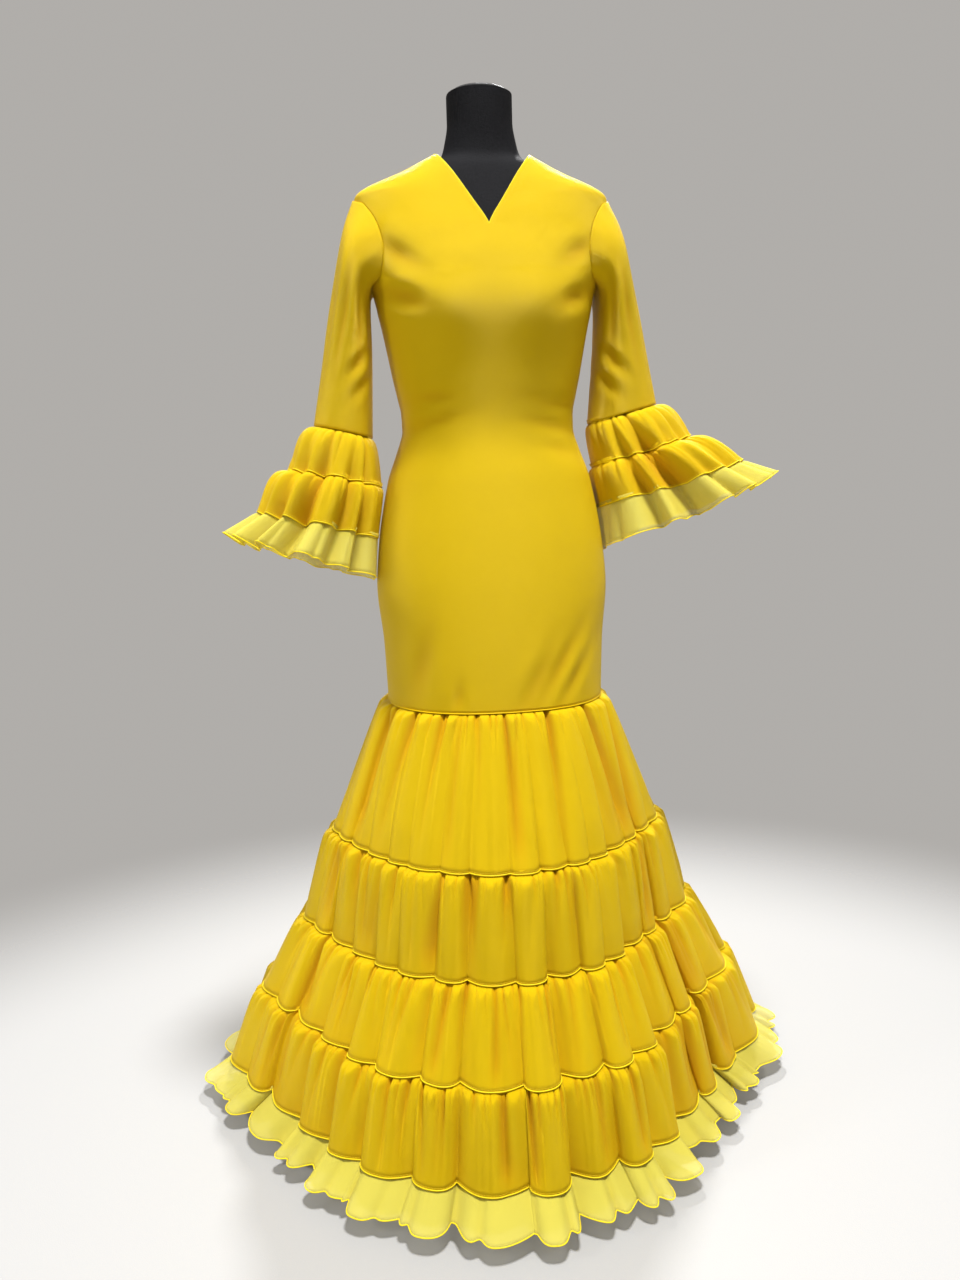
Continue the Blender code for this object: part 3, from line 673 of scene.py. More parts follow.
def trough_depth(points, troughs):
    """How far in the troughs press the cloth at each point."""
    depth = np.zeros(points.shape[:2])
    for t in troughs:
        start = np.array([t["x0"], t["z0"]])
        run = np.array([t["x1"], t["z1"]]) - start
        place = points[..., [0, 2]] - start
        along = np.clip((place @ run) / (run @ run), -0.3, 1.3)
        away = np.linalg.norm(place - along[..., None] * run, axis=-1)
        fade = np.clip(1.1 - np.abs(along - 0.45), 0, 1) ** 2
        ridge = np.exp(-(((away - 2.0 * t["wide"]) / t["wide"]) ** 2)) * 0.35
        depth += t["deep"] * fade * (np.exp(-((away / t["wide"]) ** 2)) - ridge)
    return depth


def half_panel(neckline, front, inset):
    """A grid of points of the half panel at +X, from the top row down."""
    edges = panel_edges(neckline, inset)[::-1]
    start = angle_at(edges[:, 0], body_size("half_width", edges[:, 1]))
    share = np.linspace(0, 1, PANEL_COLUMNS + 1)
    angle = start[:, None] + (edges[:, 2] - start)[:, None] * share
    z = edges[:, 1][:, None] + (edges[:, 3] - edges[:, 1])[:, None] * share
    points = body_points(angle if front else math.pi - angle, z, CLOTH_WALL)
    points[..., 1] += -SEAM / 2 if front else SEAM / 2
    return points


def mirrored(points):
    """The other half of a panel, with its columns in the order that faces outwards."""
    other = points[:, ::-1].copy()
    other[..., 0] *= -1
    return other


def pressed(points, troughs):
    """A panel with its troughs pressed in, and the depth that the finish reads."""
    # The trough depth, scaled by DEEPEST, becomes the weight of the painted shade in the troughs.
    depth = trough_depth(points, troughs)
    return points - surface_normals(points) * depth[..., None], np.clip(depth / DEEPEST, 0, 1)


def make_panels():
    made = {}
    left_half = half_panel(FRONT_NECKLINE, True, 0.0)
    whole = np.concatenate([mirrored(left_half), left_half], axis=1)
    back = half_panel(BACK_NECKLINE, False, ZIP_SLIT)[:, ::-1]
    for name, points, troughs, slit in (
        ("front", whole, FRONT_TROUGHS, PANEL_COLUMNS),
        ("back_left", back, BACK_TROUGHS, None),
        ("back_right", mirrored(back), BACK_TROUGHS, None),
    ):
        points, depth = pressed(points, troughs)
        panel, cut = make_cloth(
            f"{name}_cloth", points, depth, CLOTH_FINISH, CLOTH_THICK, closed=False, slit=slit
        )
        made[name] = {"cloth": panel, "cut": cut, "points": points}
    return made


PIECES = make_panels()

# %% [markdown]
# ## Sleeves
#
# A sleeve is a tube from the armhole to the seam above the elbow. Its rings are ovals
# that tilt with the arm, and a smooth path runs down through them from the armhole's own
# edge. The cloth hangs almost smooth, with a few long soft folds from the shoulder and
# short ones at the bend of the arm.

# %% Build the sleeves
SLEEVE_RINGS = {
    "left": table(
        "outer_x outer_z inner_x inner_z depth",
        (0.2070, 1.352, 0.1715, 1.247, 0.0640), (0.2310, 1.252, 0.1680, 1.190, 0.0550),
        (0.2480, 1.170, 0.1630, 1.132, 0.0510), (0.2620, 1.104, 0.1580, 1.076, 0.0490),
    ),
    "right": table(
        "outer_x outer_z inner_x inner_z depth",
        (0.2060, 1.352, 0.1725, 1.247, 0.0640), (0.2290, 1.248, 0.1730, 1.190, 0.0550),
        (0.2460, 1.160, 0.1750, 1.132, 0.0500), (0.2620, 1.081, 0.1780, 1.061, 0.0480),
    ),
}
SLEEVE_MIDDLE_Y = -0.004
ARMHOLE_STEP_TOP = 0.0026
ARMHOLE_STEP_UNDER = 0.0055
SLEEVE_COLUMNS = 120
SLEEVE_ROWS_BETWEEN = 11
ARMHOLE_REACH = 0.12  # how far the top row steps from the armhole's edge to the sleeve
SLEEVE_RADIUS = 0.055  # turns a place round the sleeve into a distance
# Round the sleeve from the inner edge forward, in degrees, and up, in metres.
SLEEVE_TROUGHS = table(
    "turn0 z0 turn1 z1 deep wide",
    (100, 1.290, 118, 1.150, 0.0030, 0.010), (66, 1.270, 60, 1.170, 0.0026, 0.009),
    (40, 1.185, 92, 1.148, 0.0028, 0.008), (30, 1.148, 76, 1.116, 0.0024, 0.008),
    (145, 1.330, 150, 1.120, 0.0016, 0.012), (205, 1.320, 214, 1.130, 0.0024, 0.012),
    (250, 1.290, 244, 1.150, 0.0030, 0.010), (322, 1.180, 270, 1.146, 0.0028, 0.008),
    (330, 1.140, 285, 1.112, 0.0022, 0.008),
)


def tilted_ring(row, turn, rise=0.0, fold=0.0):
    """A ring between its outer and inner edges, at angles from the inner edge forward."""
    outer = np.array([row["outer_x"], SLEEVE_MIDDLE_Y, row["outer_z"]])
    inner = np.array([row["inner_x"], SLEEVE_MIDDLE_Y, row["inner_z"]])
    out = (outer - inner) / 2
    forward = np.array([0, -row["depth"], rise])
    reach = 1.0 - np.asarray(fold) / np.linalg.norm(out)
    way = -np.cos(turn)[:, None] * out + np.sin(turn)[:, None] * forward
    return (outer + inner) / 2 + np.broadcast_to(reach, turn.shape)[:, None] * way


def evenly(points, count):
    """Points spaced evenly along a line of points."""
    along = np.concatenate([[0], np.cumsum(np.linalg.norm(np.diff(points, axis=0), axis=1))])
    at = np.linspace(0, along[-1], count)
    return np.stack([np.interp(at, along, points[:, k]) for k in range(3)], axis=1)


def armhole_edges():
    """The armhole on the body, evenly spaced: up the front from the underarm, down the back."""
    path = panel_edges(FRONT_NECKLINE, 0.0)[(len(PLAIN_ROWS) - 1) * ROWS_BETWEEN :]
    half = SLEEVE_COLUMNS // 2
    up = evenly(body_points(path[:, 2], path[:, 3]), half + 1)
    down = evenly(body_points(math.pi - path[::-1, 2], path[::-1, 3]), half + 1)
    edge = np.concatenate([up[:-1], down[:-1]])
    low, high = ARMHOLE[0]["z"], ARMHOLE[-1]["z"]
    height = (edge[:, 2] - low) / (high - low)
    stepped = edge.copy()
    stepped[:, 0] += ARMHOLE_STEP_UNDER + (ARMHOLE_STEP_TOP - ARMHOLE_STEP_UNDER) * height
    return edge, stepped


def sleeve_troughs():
    made = []
    for t in SLEEVE_TROUGHS:
        place = {f"x{end}": math.radians(t[f"turn{end}"]) * SLEEVE_RADIUS for end in (0, 1)}
        made.append(dict(place, z0=t["z0"], z1=t["z1"], deep=t["deep"], wide=t["wide"]))
    return made


def make_sleeve(side):
    turn = np.linspace(0, 2 * math.pi, SLEEVE_COLUMNS, endpoint=False)
    edge, stepped = armhole_edges()
    knots = [stepped] + [tilted_ring(row, turn) for row in SLEEVE_RINGS[side]]
    path = through(np.array(knots).reshape(len(knots), -1), SLEEVE_ROWS_BETWEEN)
    points = path.reshape(len(path), SLEEVE_COLUMNS, 3)
    points = points + surface_normals(points, True) * CLOTH_WALL
    z = points[..., 2]
    flat = np.stack([turn[None, :] * SLEEVE_RADIUS + 0 * z, 0 * z, z], axis=-1)
    depth = trough_depth(flat, sleeve_troughs())
    points = points - surface_normals(points, True) * depth[..., None]
    edge = edge + (points[0] - edge) * ARMHOLE_REACH
    points = np.concatenate([edge[None], points])
    # The trough depth becomes the weight of the painted shade in the sleeve's troughs.
    depth = np.clip(np.concatenate([depth[:1], depth]) / DEEPEST, 0, 1)
    if side == "right":
        points, depth = mirrored(points), depth[:, ::-1]
    cloth, cut = make_cloth(f"sleeve_{side}_cloth", points, depth, CLOTH_FINISH, CLOTH_THICK)
    return {"cloth": cloth, "cut": cut, "points": points}


for side in ("left", "right"):
    PIECES[f"sleeve_{side}"] = make_sleeve(side)

# %% [markdown]
# ## Gathers
#
# A gathered strip is much longer than the seam it hangs from. A row of stitches
# pulls it up into small tight tucks, a centimetre or two apart. Each tuck is a narrow
# trough that starts at the seam, widens as it runs down, and dies out: most of them
# within a few centimetres, and some of them into a long fold. Between them the cloth
# springs out, so the strip bulges just under its seam. No two are alike, so a seeded
# random generator gives every tuck its own place, depth, length and slant.


# %% A field of gathers
def gathers(
    seed, share, down, around, pitch, depth, run,
    width=0.17, spread=0.07, slant=0.12, sharp=1.3, grows=0.0,
):
    """How far in a row of tucks pulls the cloth.

    share: each column's place round the seam, 0 to 1. down: each row's distance below the
    seam. around: each row's length round. run: how far down an average tuck reaches.
    width: a tuck's half width beside the pitch. spread: how fast it widens on its way
    down. sharp: 2 for a round trough, less for a crease. grows: 1 where it deepens down.
    """
    random = np.random.default_rng(seed)
    count = max(6, round(float(around[0]) / pitch))
    places = (np.arange(count) + random.uniform(-0.32, 0.32, count)) / count
    deeps = depth * random.uniform(0.45, 1.30, count)
    runs = run * random.uniform(0.45, 1.25, count) * np.where(random.random(count) < 0.22, 2.6, 1.0)
    slants = random.uniform(-slant, slant, count)
    field = np.zeros((len(down), len(share)))
    down, around = down[:, None], around[:, None]
    for place, deep, reach, lean in zip(places, deeps, runs, slants):
        away = (share[None, :] - place + 0.5) % 1.0 - 0.5
        away = away * around - lean * down
        wide = pitch * width * (around / around[0]) + spread * down
        strength = np.exp(-down / reach) * (1 - grows) + grows * (0.35 + 0.65 * down / down[-1])
        field += deep * strength * np.exp(-(np.abs(away / wide) ** sharp))
    return field - field.mean(axis=1, keepdims=True)


# %% [markdown]
# ## The skirt's outline and its big folds
#
# From the hip seam the skirt opens in four tiers. Every seam is a full oval, and the
# skirt hangs from it in about thirty big folds, which run down through all the tiers and
# grow deeper to the hem. A table gives each valley its place and depth, and how far in
# the crest after it stays. Real folds also lean: one crest laps a little over the valley
# beside it. That is a sideways shift of the valley, by turns to one side and the other.

# %% The skirt's rule
TUCK = 0.0019
TUCK_DOWN = 0.0010
SKIRT_SEAMS = table(
    "z half_width front back square fold",
    (0.656, 0.168, 0.144, 0.152, 2.30, 0.000), (0.444, 0.270, 0.240, 0.262, 1.75, 0.016),
    (0.298, 0.325, 0.278, 0.322, 1.68, 0.028), (0.181, 0.400, 0.346, 0.405, 1.65, 0.040),
    (0.056, 0.460, 0.386, 0.462, 1.65, 0.048), (0.027, 0.500, 0.432, 0.505, 1.65, 0.054),
)
# Each valley, in degrees from the front towards the wearer's left.
SKIRT_FOLDS = table(
    "angle depth crest lap",
    (-174.0, 0.60, 0.10, 0.5), (-163.5, 0.90, 0.00, -0.7), (-152.0, 0.55, 0.20, 0.6),
    (-141.0, 1.00, 0.30, 0.9), (-130.5, 0.70, 0.35, -0.5), (-119.0, 0.95, 0.15, 0.8),
    (-108.0, 0.60, 0.00, -0.6), (-96.5, 0.90, 0.05, 0.7), (-84.0, 0.60, 0.45, 0.6),
    (-73.0, 0.90, 0.65, -0.8), (-63.0, 1.00, 0.50, 0.8), (-51.0, 0.75, 0.20, 0.7),
    (-41.0, 0.42, 0.00, 0.8), (-28.0, 0.40, 0.00, 0.7), (-16.0, 0.48, 0.00, -0.6),
    (-3.0, 0.45, 0.00, 1.1), (10.0, 0.75, 0.20, -0.7), (19.0, 0.60, 0.05, 0.7),
    (30.0, 0.55, 0.30, -0.5), (41.0, 1.40, 0.75, -0.8), (51.0, 1.05, 0.80, 0.7),
    (62.0, 1.45, 0.85, 0.9), (75.0, 1.10, 0.35, -0.6), (88.0, 0.60, 0.05, 0.6),
    (100.0, 0.70, 0.15, -0.7), (112.0, 0.95, 0.30, 0.8), (123.5, 0.60, 0.40, -0.5),
    (135.0, 1.10, 0.30, 0.8), (146.0, 0.70, 0.10, -0.6), (157.5, 0.85, 0.00, 0.7),
    (169.5, 0.55, 0.05, -0.6),
)
LAP = 0.026  # how far the deepest valley shifts sideways at full fold
FOLD_POWER = 2.4  # 1 for a plain V. The higher, the narrower the valley beside its flat crest


def fold_profile(angle):
    """The big folds at each angle: how far in, beside the fold depth, and the sideways lap."""
    valleys = [math.radians(fold["angle"]) for fold in SKIRT_FOLDS]
    depth, lap = np.zeros_like(angle), np.zeros_like(angle)
    for i, fold in enumerate(SKIRT_FOLDS):
        after = SKIRT_FOLDS[(i + 1) % len(SKIRT_FOLDS)]
        start, span = valleys[i], (valleys[(i + 1) % len(valleys)] - valleys[i]) % (2 * math.pi)
        place = ((angle - start) % (2 * math.pi)) / span
        here = place < 1
        half = np.where(place < 0.5, place, 1 - place)[here] * 2
        rise = 1 - (1 - half) ** FOLD_POWER
        low = np.where(place[here] < 0.5, fold["depth"], after["depth"])
        depth[here] = low + (fold["crest"] - low) * rise
        near, far = fold["lap"] * fold["depth"], after["lap"] * after["depth"]
        side = np.where(place[here] < 0.5, near, far)
        lap[here] = side * (1 - rise) ** 1.5
    return depth, lap


def skirt_points(angle, seam, share, out, tucks=0.0):
    """Rows of points of the skirt between two of its seams.

    share, out: by row. tucks: by row and column, how far in the small gathers pull.
    """
    high, low = SKIRT_SEAMS[seam], SKIRT_SEAMS[seam + 1]
    size = {key: (high[key] + (low[key] - high[key]) * share)[:, None] for key in high}
    depth, lap = fold_profile(angle)
    across, along = np.sin(angle)[None, :], np.cos(angle)[None, :]
    reach_y = np.where(along > 0, size["front"], size["back"])
    powers = (np.abs(across) / size["half_width"]) ** size["square"]
    powers = powers + (np.abs(along) / reach_y) ** size["square"]
    reach = powers ** (-1 / size["square"]) + out[:, None] - size["fold"] * depth - tucks
    side = LAP * lap * size["fold"] / SKIRT_SEAMS[-1]["fold"]
    x = across * reach + along * side
    y = -along * reach + across * side
    return np.stack([x, y, size["z"] + 0 * x], axis=-1), np.clip(depth * size["fold"] / 0.05, 0, 1)


# %% [markdown]
# ## The tiers and the hem frill
#
# Each tier starts just inside the edge that it hangs from, bulges out, and falls to its
# own seam, where the edge is turned under and lies flat over the next tier's gathers. The
# frill is half as deep as a hand is wide, of organza, and longer than its seam, so it
# stands out in flat panels with sharp turns between them.

# %% Build the skirt
TIERS = table(
    "rows columns length run deep peak seed",
    (32, 900, 0.234, 0.230, 0.0160, 0.10, 11),
    (24, 1040, 0.156, 0.110, 0.0120, 0.16, 12),
    (20, 1120, 0.139, 0.100, 0.0120, 0.16, 13),
    (20, 1200, 0.140, 0.100, 0.0120, 0.16, 14),
)
TIER_PUFF = 0.008
ALLOWANCE = 0.008
HELD_FLAT, HELD_RISE = 0.0004, 0.60  # how far out a ridge may stand: at its seam, by depth below
TIER_TUCKS = {"pitch": 0.0145, "depth": 0.0140, "run": 0.024, "sharp": 1.1}
TIER_FOLDS = {"pitch": 0.036, "width": 0.20, "spread": 0.05, "slant": 0.18, "sharp": 1.3}
FRILL_TUCKS = {"pitch": 0.011, "depth": 0.0020, "run": 0.009}
FRILL_TURNS = {
    "pitch": 0.062, "depth": 0.0150, "run": 0.05, "width": 0.15, "spread": 0.02,
    "slant": 0.12, "sharp": 1.7, "grows": 1.0,
}
FRILL = {"rows": 10, "columns": 1400, "length": 0.050, "seed": 15}


def puffed(share, peak, out):
    """How far out cloth bulges below a gathered seam: most at the peak, none at the edges."""
    rise = np.sin(math.pi * share ** (math.log(0.5) / math.log(peak)))
    return out * rise - TUCK * np.exp(-share / 0.014)


def row_shares(count, crowd=1.6):
    """Rows that stand closer together under the seam, where the gathers are finest."""
    return np.linspace(0, 1, count + 1) ** crowd


def ring_length(points):
    return np.linalg.norm(points - np.roll(points, 1, axis=1), axis=2).sum(axis=1)


def held_in(tucks, down):
    """Tucks whose ridges stay under the edge above and only rise below it."""
    return np.maximum(tucks, -(HELD_FLAT + HELD_RISE * down[:, None]))


def with_allowance(points, depth):
    """One more row on top: the strip that is turned up inside the piece above, out of sight."""
    middle = points[0].mean(axis=0)
    up = middle - points[-1].mean(axis=0)
    up = up / np.linalg.norm(up) * ALLOWANCE
    inner = middle + (points[0] - middle) * 0.99 + up
    return np.concatenate([inner[None], points]), np.concatenate([depth[:1], depth])


def make_tier(number, tier):
    name = f"skirt_tier_{number + 1}"
    angle = np.linspace(-math.pi, math.pi, tier["columns"], endpoint=False)
    share = row_shares(tier["rows"])
    down = share * tier["length"]
    out = puffed(share, tier["peak"], TIER_PUFF)
    plain, _ = skirt_points(angle, number, share, out)
    around = ring_length(plain)
    place = (angle + math.pi) / (2 * math.pi)
    size = {"depth": tier["deep"], "run": tier["run"]}
    tucks = gathers(tier["seed"], place, down, around, **TIER_TUCKS)
    tucks += gathers(tier["seed"] + 20, place, down, around, **size, **TIER_FOLDS)
    tucks = held_in(tucks, down)
    tucks *= np.clip((1.0 - share) / 0.25, 0.18, 1)[:, None]
    points, depth = skirt_points(angle, number, share, out, tucks)
    points[..., 2] -= TUCK_DOWN * (1 - share)[:, None]
    # The weight of the painted shade: the big folds, and more in the creases of the tucks.
    depth = np.clip(depth * 0.7 + tucks / 0.007, 0, 1)
    points, depth = with_allowance(points, depth)
    cloth, cut = make_cloth(f"{name}_cloth", points, depth, CLOTH_FINISH, CLOTH_THICK)
    return {"cloth": cloth, "cut": cut, "points": points}


def make_frill():
    angle = np.linspace(-math.pi, math.pi, FRILL["columns"], endpoint=False)
    share = row_shares(FRILL["rows"], 1.2)
    down = share * FRILL["length"]
    out = -TUCK * (1 - share) ** 4
    plain, _ = skirt_points(angle, 4, share, out)
    around = ring_length(plain)
    place = (angle + math.pi) / (2 * math.pi)
    turns = gathers(FRILL["seed"] + 20, place, down, around, **FRILL_TURNS)
    fine = gathers(FRILL["seed"], place, down, around, **FRILL_TUCKS)
    tucks = held_in(fine + turns, down)
    points, depth = skirt_points(angle, 4, share, out, tucks)
    points[..., 2] -= TUCK_DOWN * (1 - share)[:, None]
    points[..., 2] += (turns * 0.12) * share[:, None]
    # The weight of the painted shade: the big folds, and more in the creases of the tucks.
    depth = np.clip(depth * 0.5 + tucks / 0.020, 0, 1)
    points, depth = with_allowance(points, depth)
    cloth, cut = make_cloth("skirt_frill_organza", points, depth, ORGANZA_FINISH, ORGANZA_THICK)
    return {"cloth": cloth, "cut": cut, "points": points}


for number, tier in enumerate(TIERS):
    PIECES[f"skirt_tier_{number + 1}"] = make_tier(number, tier)
PIECES["skirt_frill"] = make_frill()

# %% [markdown]
# ## The cuffs
#
# Each sleeve ends in two gathered flounces and a sheer frill. One cuff is kicked out and
# the other hangs lower, so each has its own rings. The folds are placed one by one for
# each side: rounded puffs on the hanging cuff, and on the kicked-out one a narrow tongue
# in front, a deep recess beside it, and a wide sweep out to the tip.

# %% Build the cuffs
CUFF_RINGS = {
    "left": table(
        "outer_x outer_z inner_x inner_z depth",
        (0.318, 1.054, 0.164, 1.010, 0.084), (0.402, 1.014, 0.168, 0.945, 0.116),
        (0.455, 0.994, 0.170, 0.882, 0.140),
    ),
    "right": table(
        "outer_x outer_z inner_x inner_z depth",
        (0.308, 1.017, 0.166, 0.986, 0.078), (0.357, 0.955, 0.170, 0.906, 0.104),
        (0.406, 0.925, 0.172, 0.846, 0.128),
    ),
}
CUFF_RISE = [0.0, 0.006, 0.012, 0.018]
HIP_CLEARANCE = 0.0075
CUFF_COLUMNS = 360
CUFF_GATHERS = [
    {"pitch": 0.0125, "depth": 0.0095, "run": 0.020, "sharp": 1.1},
    {"pitch": 0.030, "depth": 0.0070, "run": 0.045, "width": 0.20, "sharp": 1.4},
]
CUFF_FRILL_GATHERS = [
    {"pitch": 0.010, "depth": 0.0018, "run": 0.012},
    {
        "pitch": 0.040, "depth": 0.0120, "run": 0.05, "width": 0.16, "spread": 0.03,
        "slant": 0.20, "sharp": 1.4, "grows": 1.0,
    },
]
CUFF_FOLD = [0.0012, 0.0105, 0.0180, 0.0240]
CUFF_SAG = 0.42  # how far a valley's cloth drops, beside how far it goes in
# Each valley, in degrees from the inner edge forward: how deep beside CUFF_FOLD, how wide.
CUFF_VALLEYS = {
    "left": table(
        "turn deep wide",
        (57, 1.5, 7), (84, 2.6, 13), (110, 0.7, 7), (131, 0.8, 8), (154, 0.6, 8), (184, 1.0, 8),
        (212, 0.8, 9), (240, 1.2, 10), (268, 0.9, 9), (300, 1.0, 10), (334, 0.5, 8),
    ),
    "right": table(
        "turn deep wide",
        (43, 1.1, 6), (66, 1.1, 7), (103, 1.6, 9), (131, 1.2, 8), (156, 0.9, 8), (187, 1.0, 9),
        (216, 1.1, 9), (246, 0.8, 9), (276, 1.2, 10), (308, 0.9, 9), (338, 0.5, 8),
    ),
}
CUFF_PIECES = table(
    "name rows puff length seed",
    ("upper_flounce", 22, 0.014, 0.055, 31), ("lower_flounce", 22, 0.014, 0.060, 34),
    ("frill", 10, 0.000, 0.046, 37),
)


def clear_of_hip(points):
    """Points moved out from the body where they would come too near it."""
    z = points[..., 2]
    reach = np.where(points[..., 1] < 0, body_size("front", z), body_size("back", z))
    inside = np.clip(1.0 - (np.abs(points[..., 1]) / reach) ** SQUARENESS, 0, 1)
    edge = body_size("half_width", z) * inside ** (1 / SQUARENESS) + HIP_CLEARANCE
    moved = points.copy()
    moved[..., 0] = np.maximum(points[..., 0], edge)
    return moved


def cuff_grid(side, number, share, out, tucks):
    """Rows of points of a cuff between two of its seams, with its placed valleys."""
    seams = [SLEEVE_RINGS[side][-1]] + CUFF_RINGS[side]
    turn = np.linspace(0, 2 * math.pi, CUFF_COLUMNS, endpoint=False)
    outside = 0.35 + 0.65 * (1 - np.cos(turn)) / 2
    valleys = np.zeros_like(turn)
    for v in CUFF_VALLEYS[side]:
        away = (turn - math.radians(v["turn"]) + math.pi) % (2 * math.pi) - math.pi
        valleys += v["deep"] * np.exp(-((away / math.radians(v["wide"])) ** 2))
    rows, depths = [], []
    for s, o, tuck in zip(share, out, tucks):
        row = {key: seams[number][key] * (1 - s) + seams[number + 1][key] * s for key in seams[0]}
        rise = CUFF_RISE[number] * (1 - s) + CUFF_RISE[number + 1] * s
        fold = CUFF_FOLD[number] * (1 - s) + CUFF_FOLD[number + 1] * s
        depth = fold * valleys + tuck * outside - o * outside
        ring = tilted_ring(row, turn, rise, depth)
        sunk = fold * np.minimum(valleys, 1.6) + s * np.maximum(tuck, 0)
        ring[:, 2] -= CUFF_SAG * sunk * outside
        rows.append(ring)
        # The weight of the painted shade in the cuff's valleys and tucks.
        depths.append(np.clip((fold * valleys + tuck) / 0.028, 0, 1))
    return np.array(rows), np.array(depths)


def make_cuff_piece(side, number, piece):
    share = row_shares(piece["rows"], 1.4)
    down = share * piece["length"]
    sheer = piece["name"] == "frill"
    out = -TUCK * np.exp(-share / 0.04)
    if not sheer:
        out = puffed(share, 0.26, piece["puff"])
    none = np.zeros((len(share), CUFF_COLUMNS))
    plain, _ = cuff_grid(side, number, share, out, none)
    around = ring_length(plain)
    place = np.arange(CUFF_COLUMNS) / CUFF_COLUMNS
    seed = piece["seed"] + (100 if side == "right" else 0)
    fine, large = CUFF_FRILL_GATHERS if sheer else CUFF_GATHERS
    tucks = gathers(seed, place, down, around, **fine)
    tucks += gathers(seed + 50, place, down, around, **large)
    if not sheer:
        tucks *= np.clip((1.0 - share) / 0.3, 0.4, 1)[:, None]
    tucks = held_in(tucks, down)
    points, depth = cuff_grid(side, number, share, out, tucks)
    points[..., 2] -= TUCK_DOWN * (1 - share)[:, None]
    points = clear_of_hip(points)
    points, depth = with_allowance(points, depth)
    if side == "right":
        points, depth = mirrored(points), depth[:, ::-1]
    finish, thick = (ORGANZA_FINISH, ORGANZA_THICK) if sheer else (CLOTH_FINISH, CLOTH_THICK)
    name = f"cuff_{side}_{piece['name']}"
    cloth, cut = make_cloth(f"{name}_cloth", points, depth, finish, thick)
    return {"cloth": cloth, "cut": cut, "points": points}


for side in ("left", "right"):
    for number, piece in enumerate(CUFF_PIECES):
        PIECES[f"cuff_{side}_{piece['name']}"] = make_cuff_piece(side, number, piece)

# %% [markdown]
# ## Rolled edges and stitches
#
# The bright line along a frill is its edge, rolled over a fine cord and oversewn. The
# tiers show the turned edge of each seam, and a row of stitches holds the turning. All
# of them follow an edge of the cloth, which is what Geometry Nodes do well: one tree
# sweeps a round section along the edge, and another sets a small stitch at every step.


# %% Two trees that follow an edge
ALONG_EDGE = {
    "start": "NodeGroupInput",
    "line": "GeometryNodeMeshToCurve",
    "smooth": "GeometryNodeSetShadeSmooth",
    "real": "GeometryNodeRealizeInstances",
    "paint": "GeometryNodeSetMaterial",
    "end": "NodeGroupOutput",
}
EDGE_LINKS = [
    "start.Geometry > line.Mesh", "start.Material > paint.Material", "paint.Geometry > end.Geometry"
]


def geometry_tree(name, inputs, kinds):
    """A geometry tree with named inputs, and its nodes by name."""
    tree = bpy.data.node_groups.new(name, "GeometryNodeTree")
    sockets = [("Geometry", "INPUT", "Geometry")]
    sockets += [(label, "INPUT", kind) for label, kind in inputs.items()]
    for label, way, kind in sockets + [("Geometry", "OUTPUT", "Geometry")]:
        tree.interface.new_socket(label, in_out=way, socket_type=f"NodeSocket{kind}")
    kinds = dict(ALONG_EDGE, **kinds)
    return tree, {label: tree.nodes.new(kind) for label, kind in kinds.items()}


def join(tree, nodes, links):
    """Links written as node.socket > node.socket."""
    for link in EDGE_LINKS + links:
        start, output, end, inlet = link.replace(" > ", ".").split(".")
        tree.links.new(nodes[start].outputs[output], nodes[end].inputs[inlet])


def cord_tree():
    """A round cord along the edges of a mesh."""
    kinds = {"round": "GeometryNodeCurvePrimitiveCircle", "sweep": "GeometryNodeCurveToMesh"}
    links = [
        "start.Radius > round.Radius",
        "line.Curve > sweep.Curve",
        "round.Curve > sweep.Profile Curve",
        "sweep.Mesh > smooth.Geometry",
        "smooth.Geometry > real.Geometry",
        "real.Geometry > paint.Geometry",
    ]
    inputs = {"Radius": "Float", "Material": "Material"}
    tree, nodes = geometry_tree("cord_along_edge", inputs, kinds)
    nodes["round"].inputs["Resolution"].default_value = 5
    join(tree, nodes, links)
    return tree


def stitch_tree():
    """Small rods set end to end along the edges of a mesh, with a gap between each two."""
    kinds = {
        "steps": "GeometryNodeResampleCurve",
        "way": "GeometryNodeInputTangent",
        "turn": "FunctionNodeAlignRotationToVector",
        "rod": "GeometryNodeMeshCylinder",
        "set": "GeometryNodeInstanceOnPoints",
    }
    links = [
        "line.Curve > steps.Curve",
        "start.Step > steps.Length",
        "way.Tangent > turn.Vector",
        "start.Length > rod.Depth",
        "start.Radius > rod.Radius",
        "steps.Curve > set.Points",
        "rod.Mesh > set.Instance",
        "turn.Rotation > set.Rotation",
        "set.Instances > real.Geometry",
        "real.Geometry > smooth.Geometry",
        "smooth.Geometry > paint.Geometry",
    ]
    inputs = {"Step": "Float", "Length": "Float", "Radius": "Float", "Material": "Material"}
    tree, nodes = geometry_tree("rods_along_edge", inputs, kinds)
    nodes["steps"].mode = "LENGTH"
    nodes["turn"].axis = "Z"
    nodes["rod"].inputs["Vertices"].default_value = 5
    join(tree, nodes, links)
    return tree


CORD_TREE = cord_tree()
STITCH_TREE = stitch_tree()


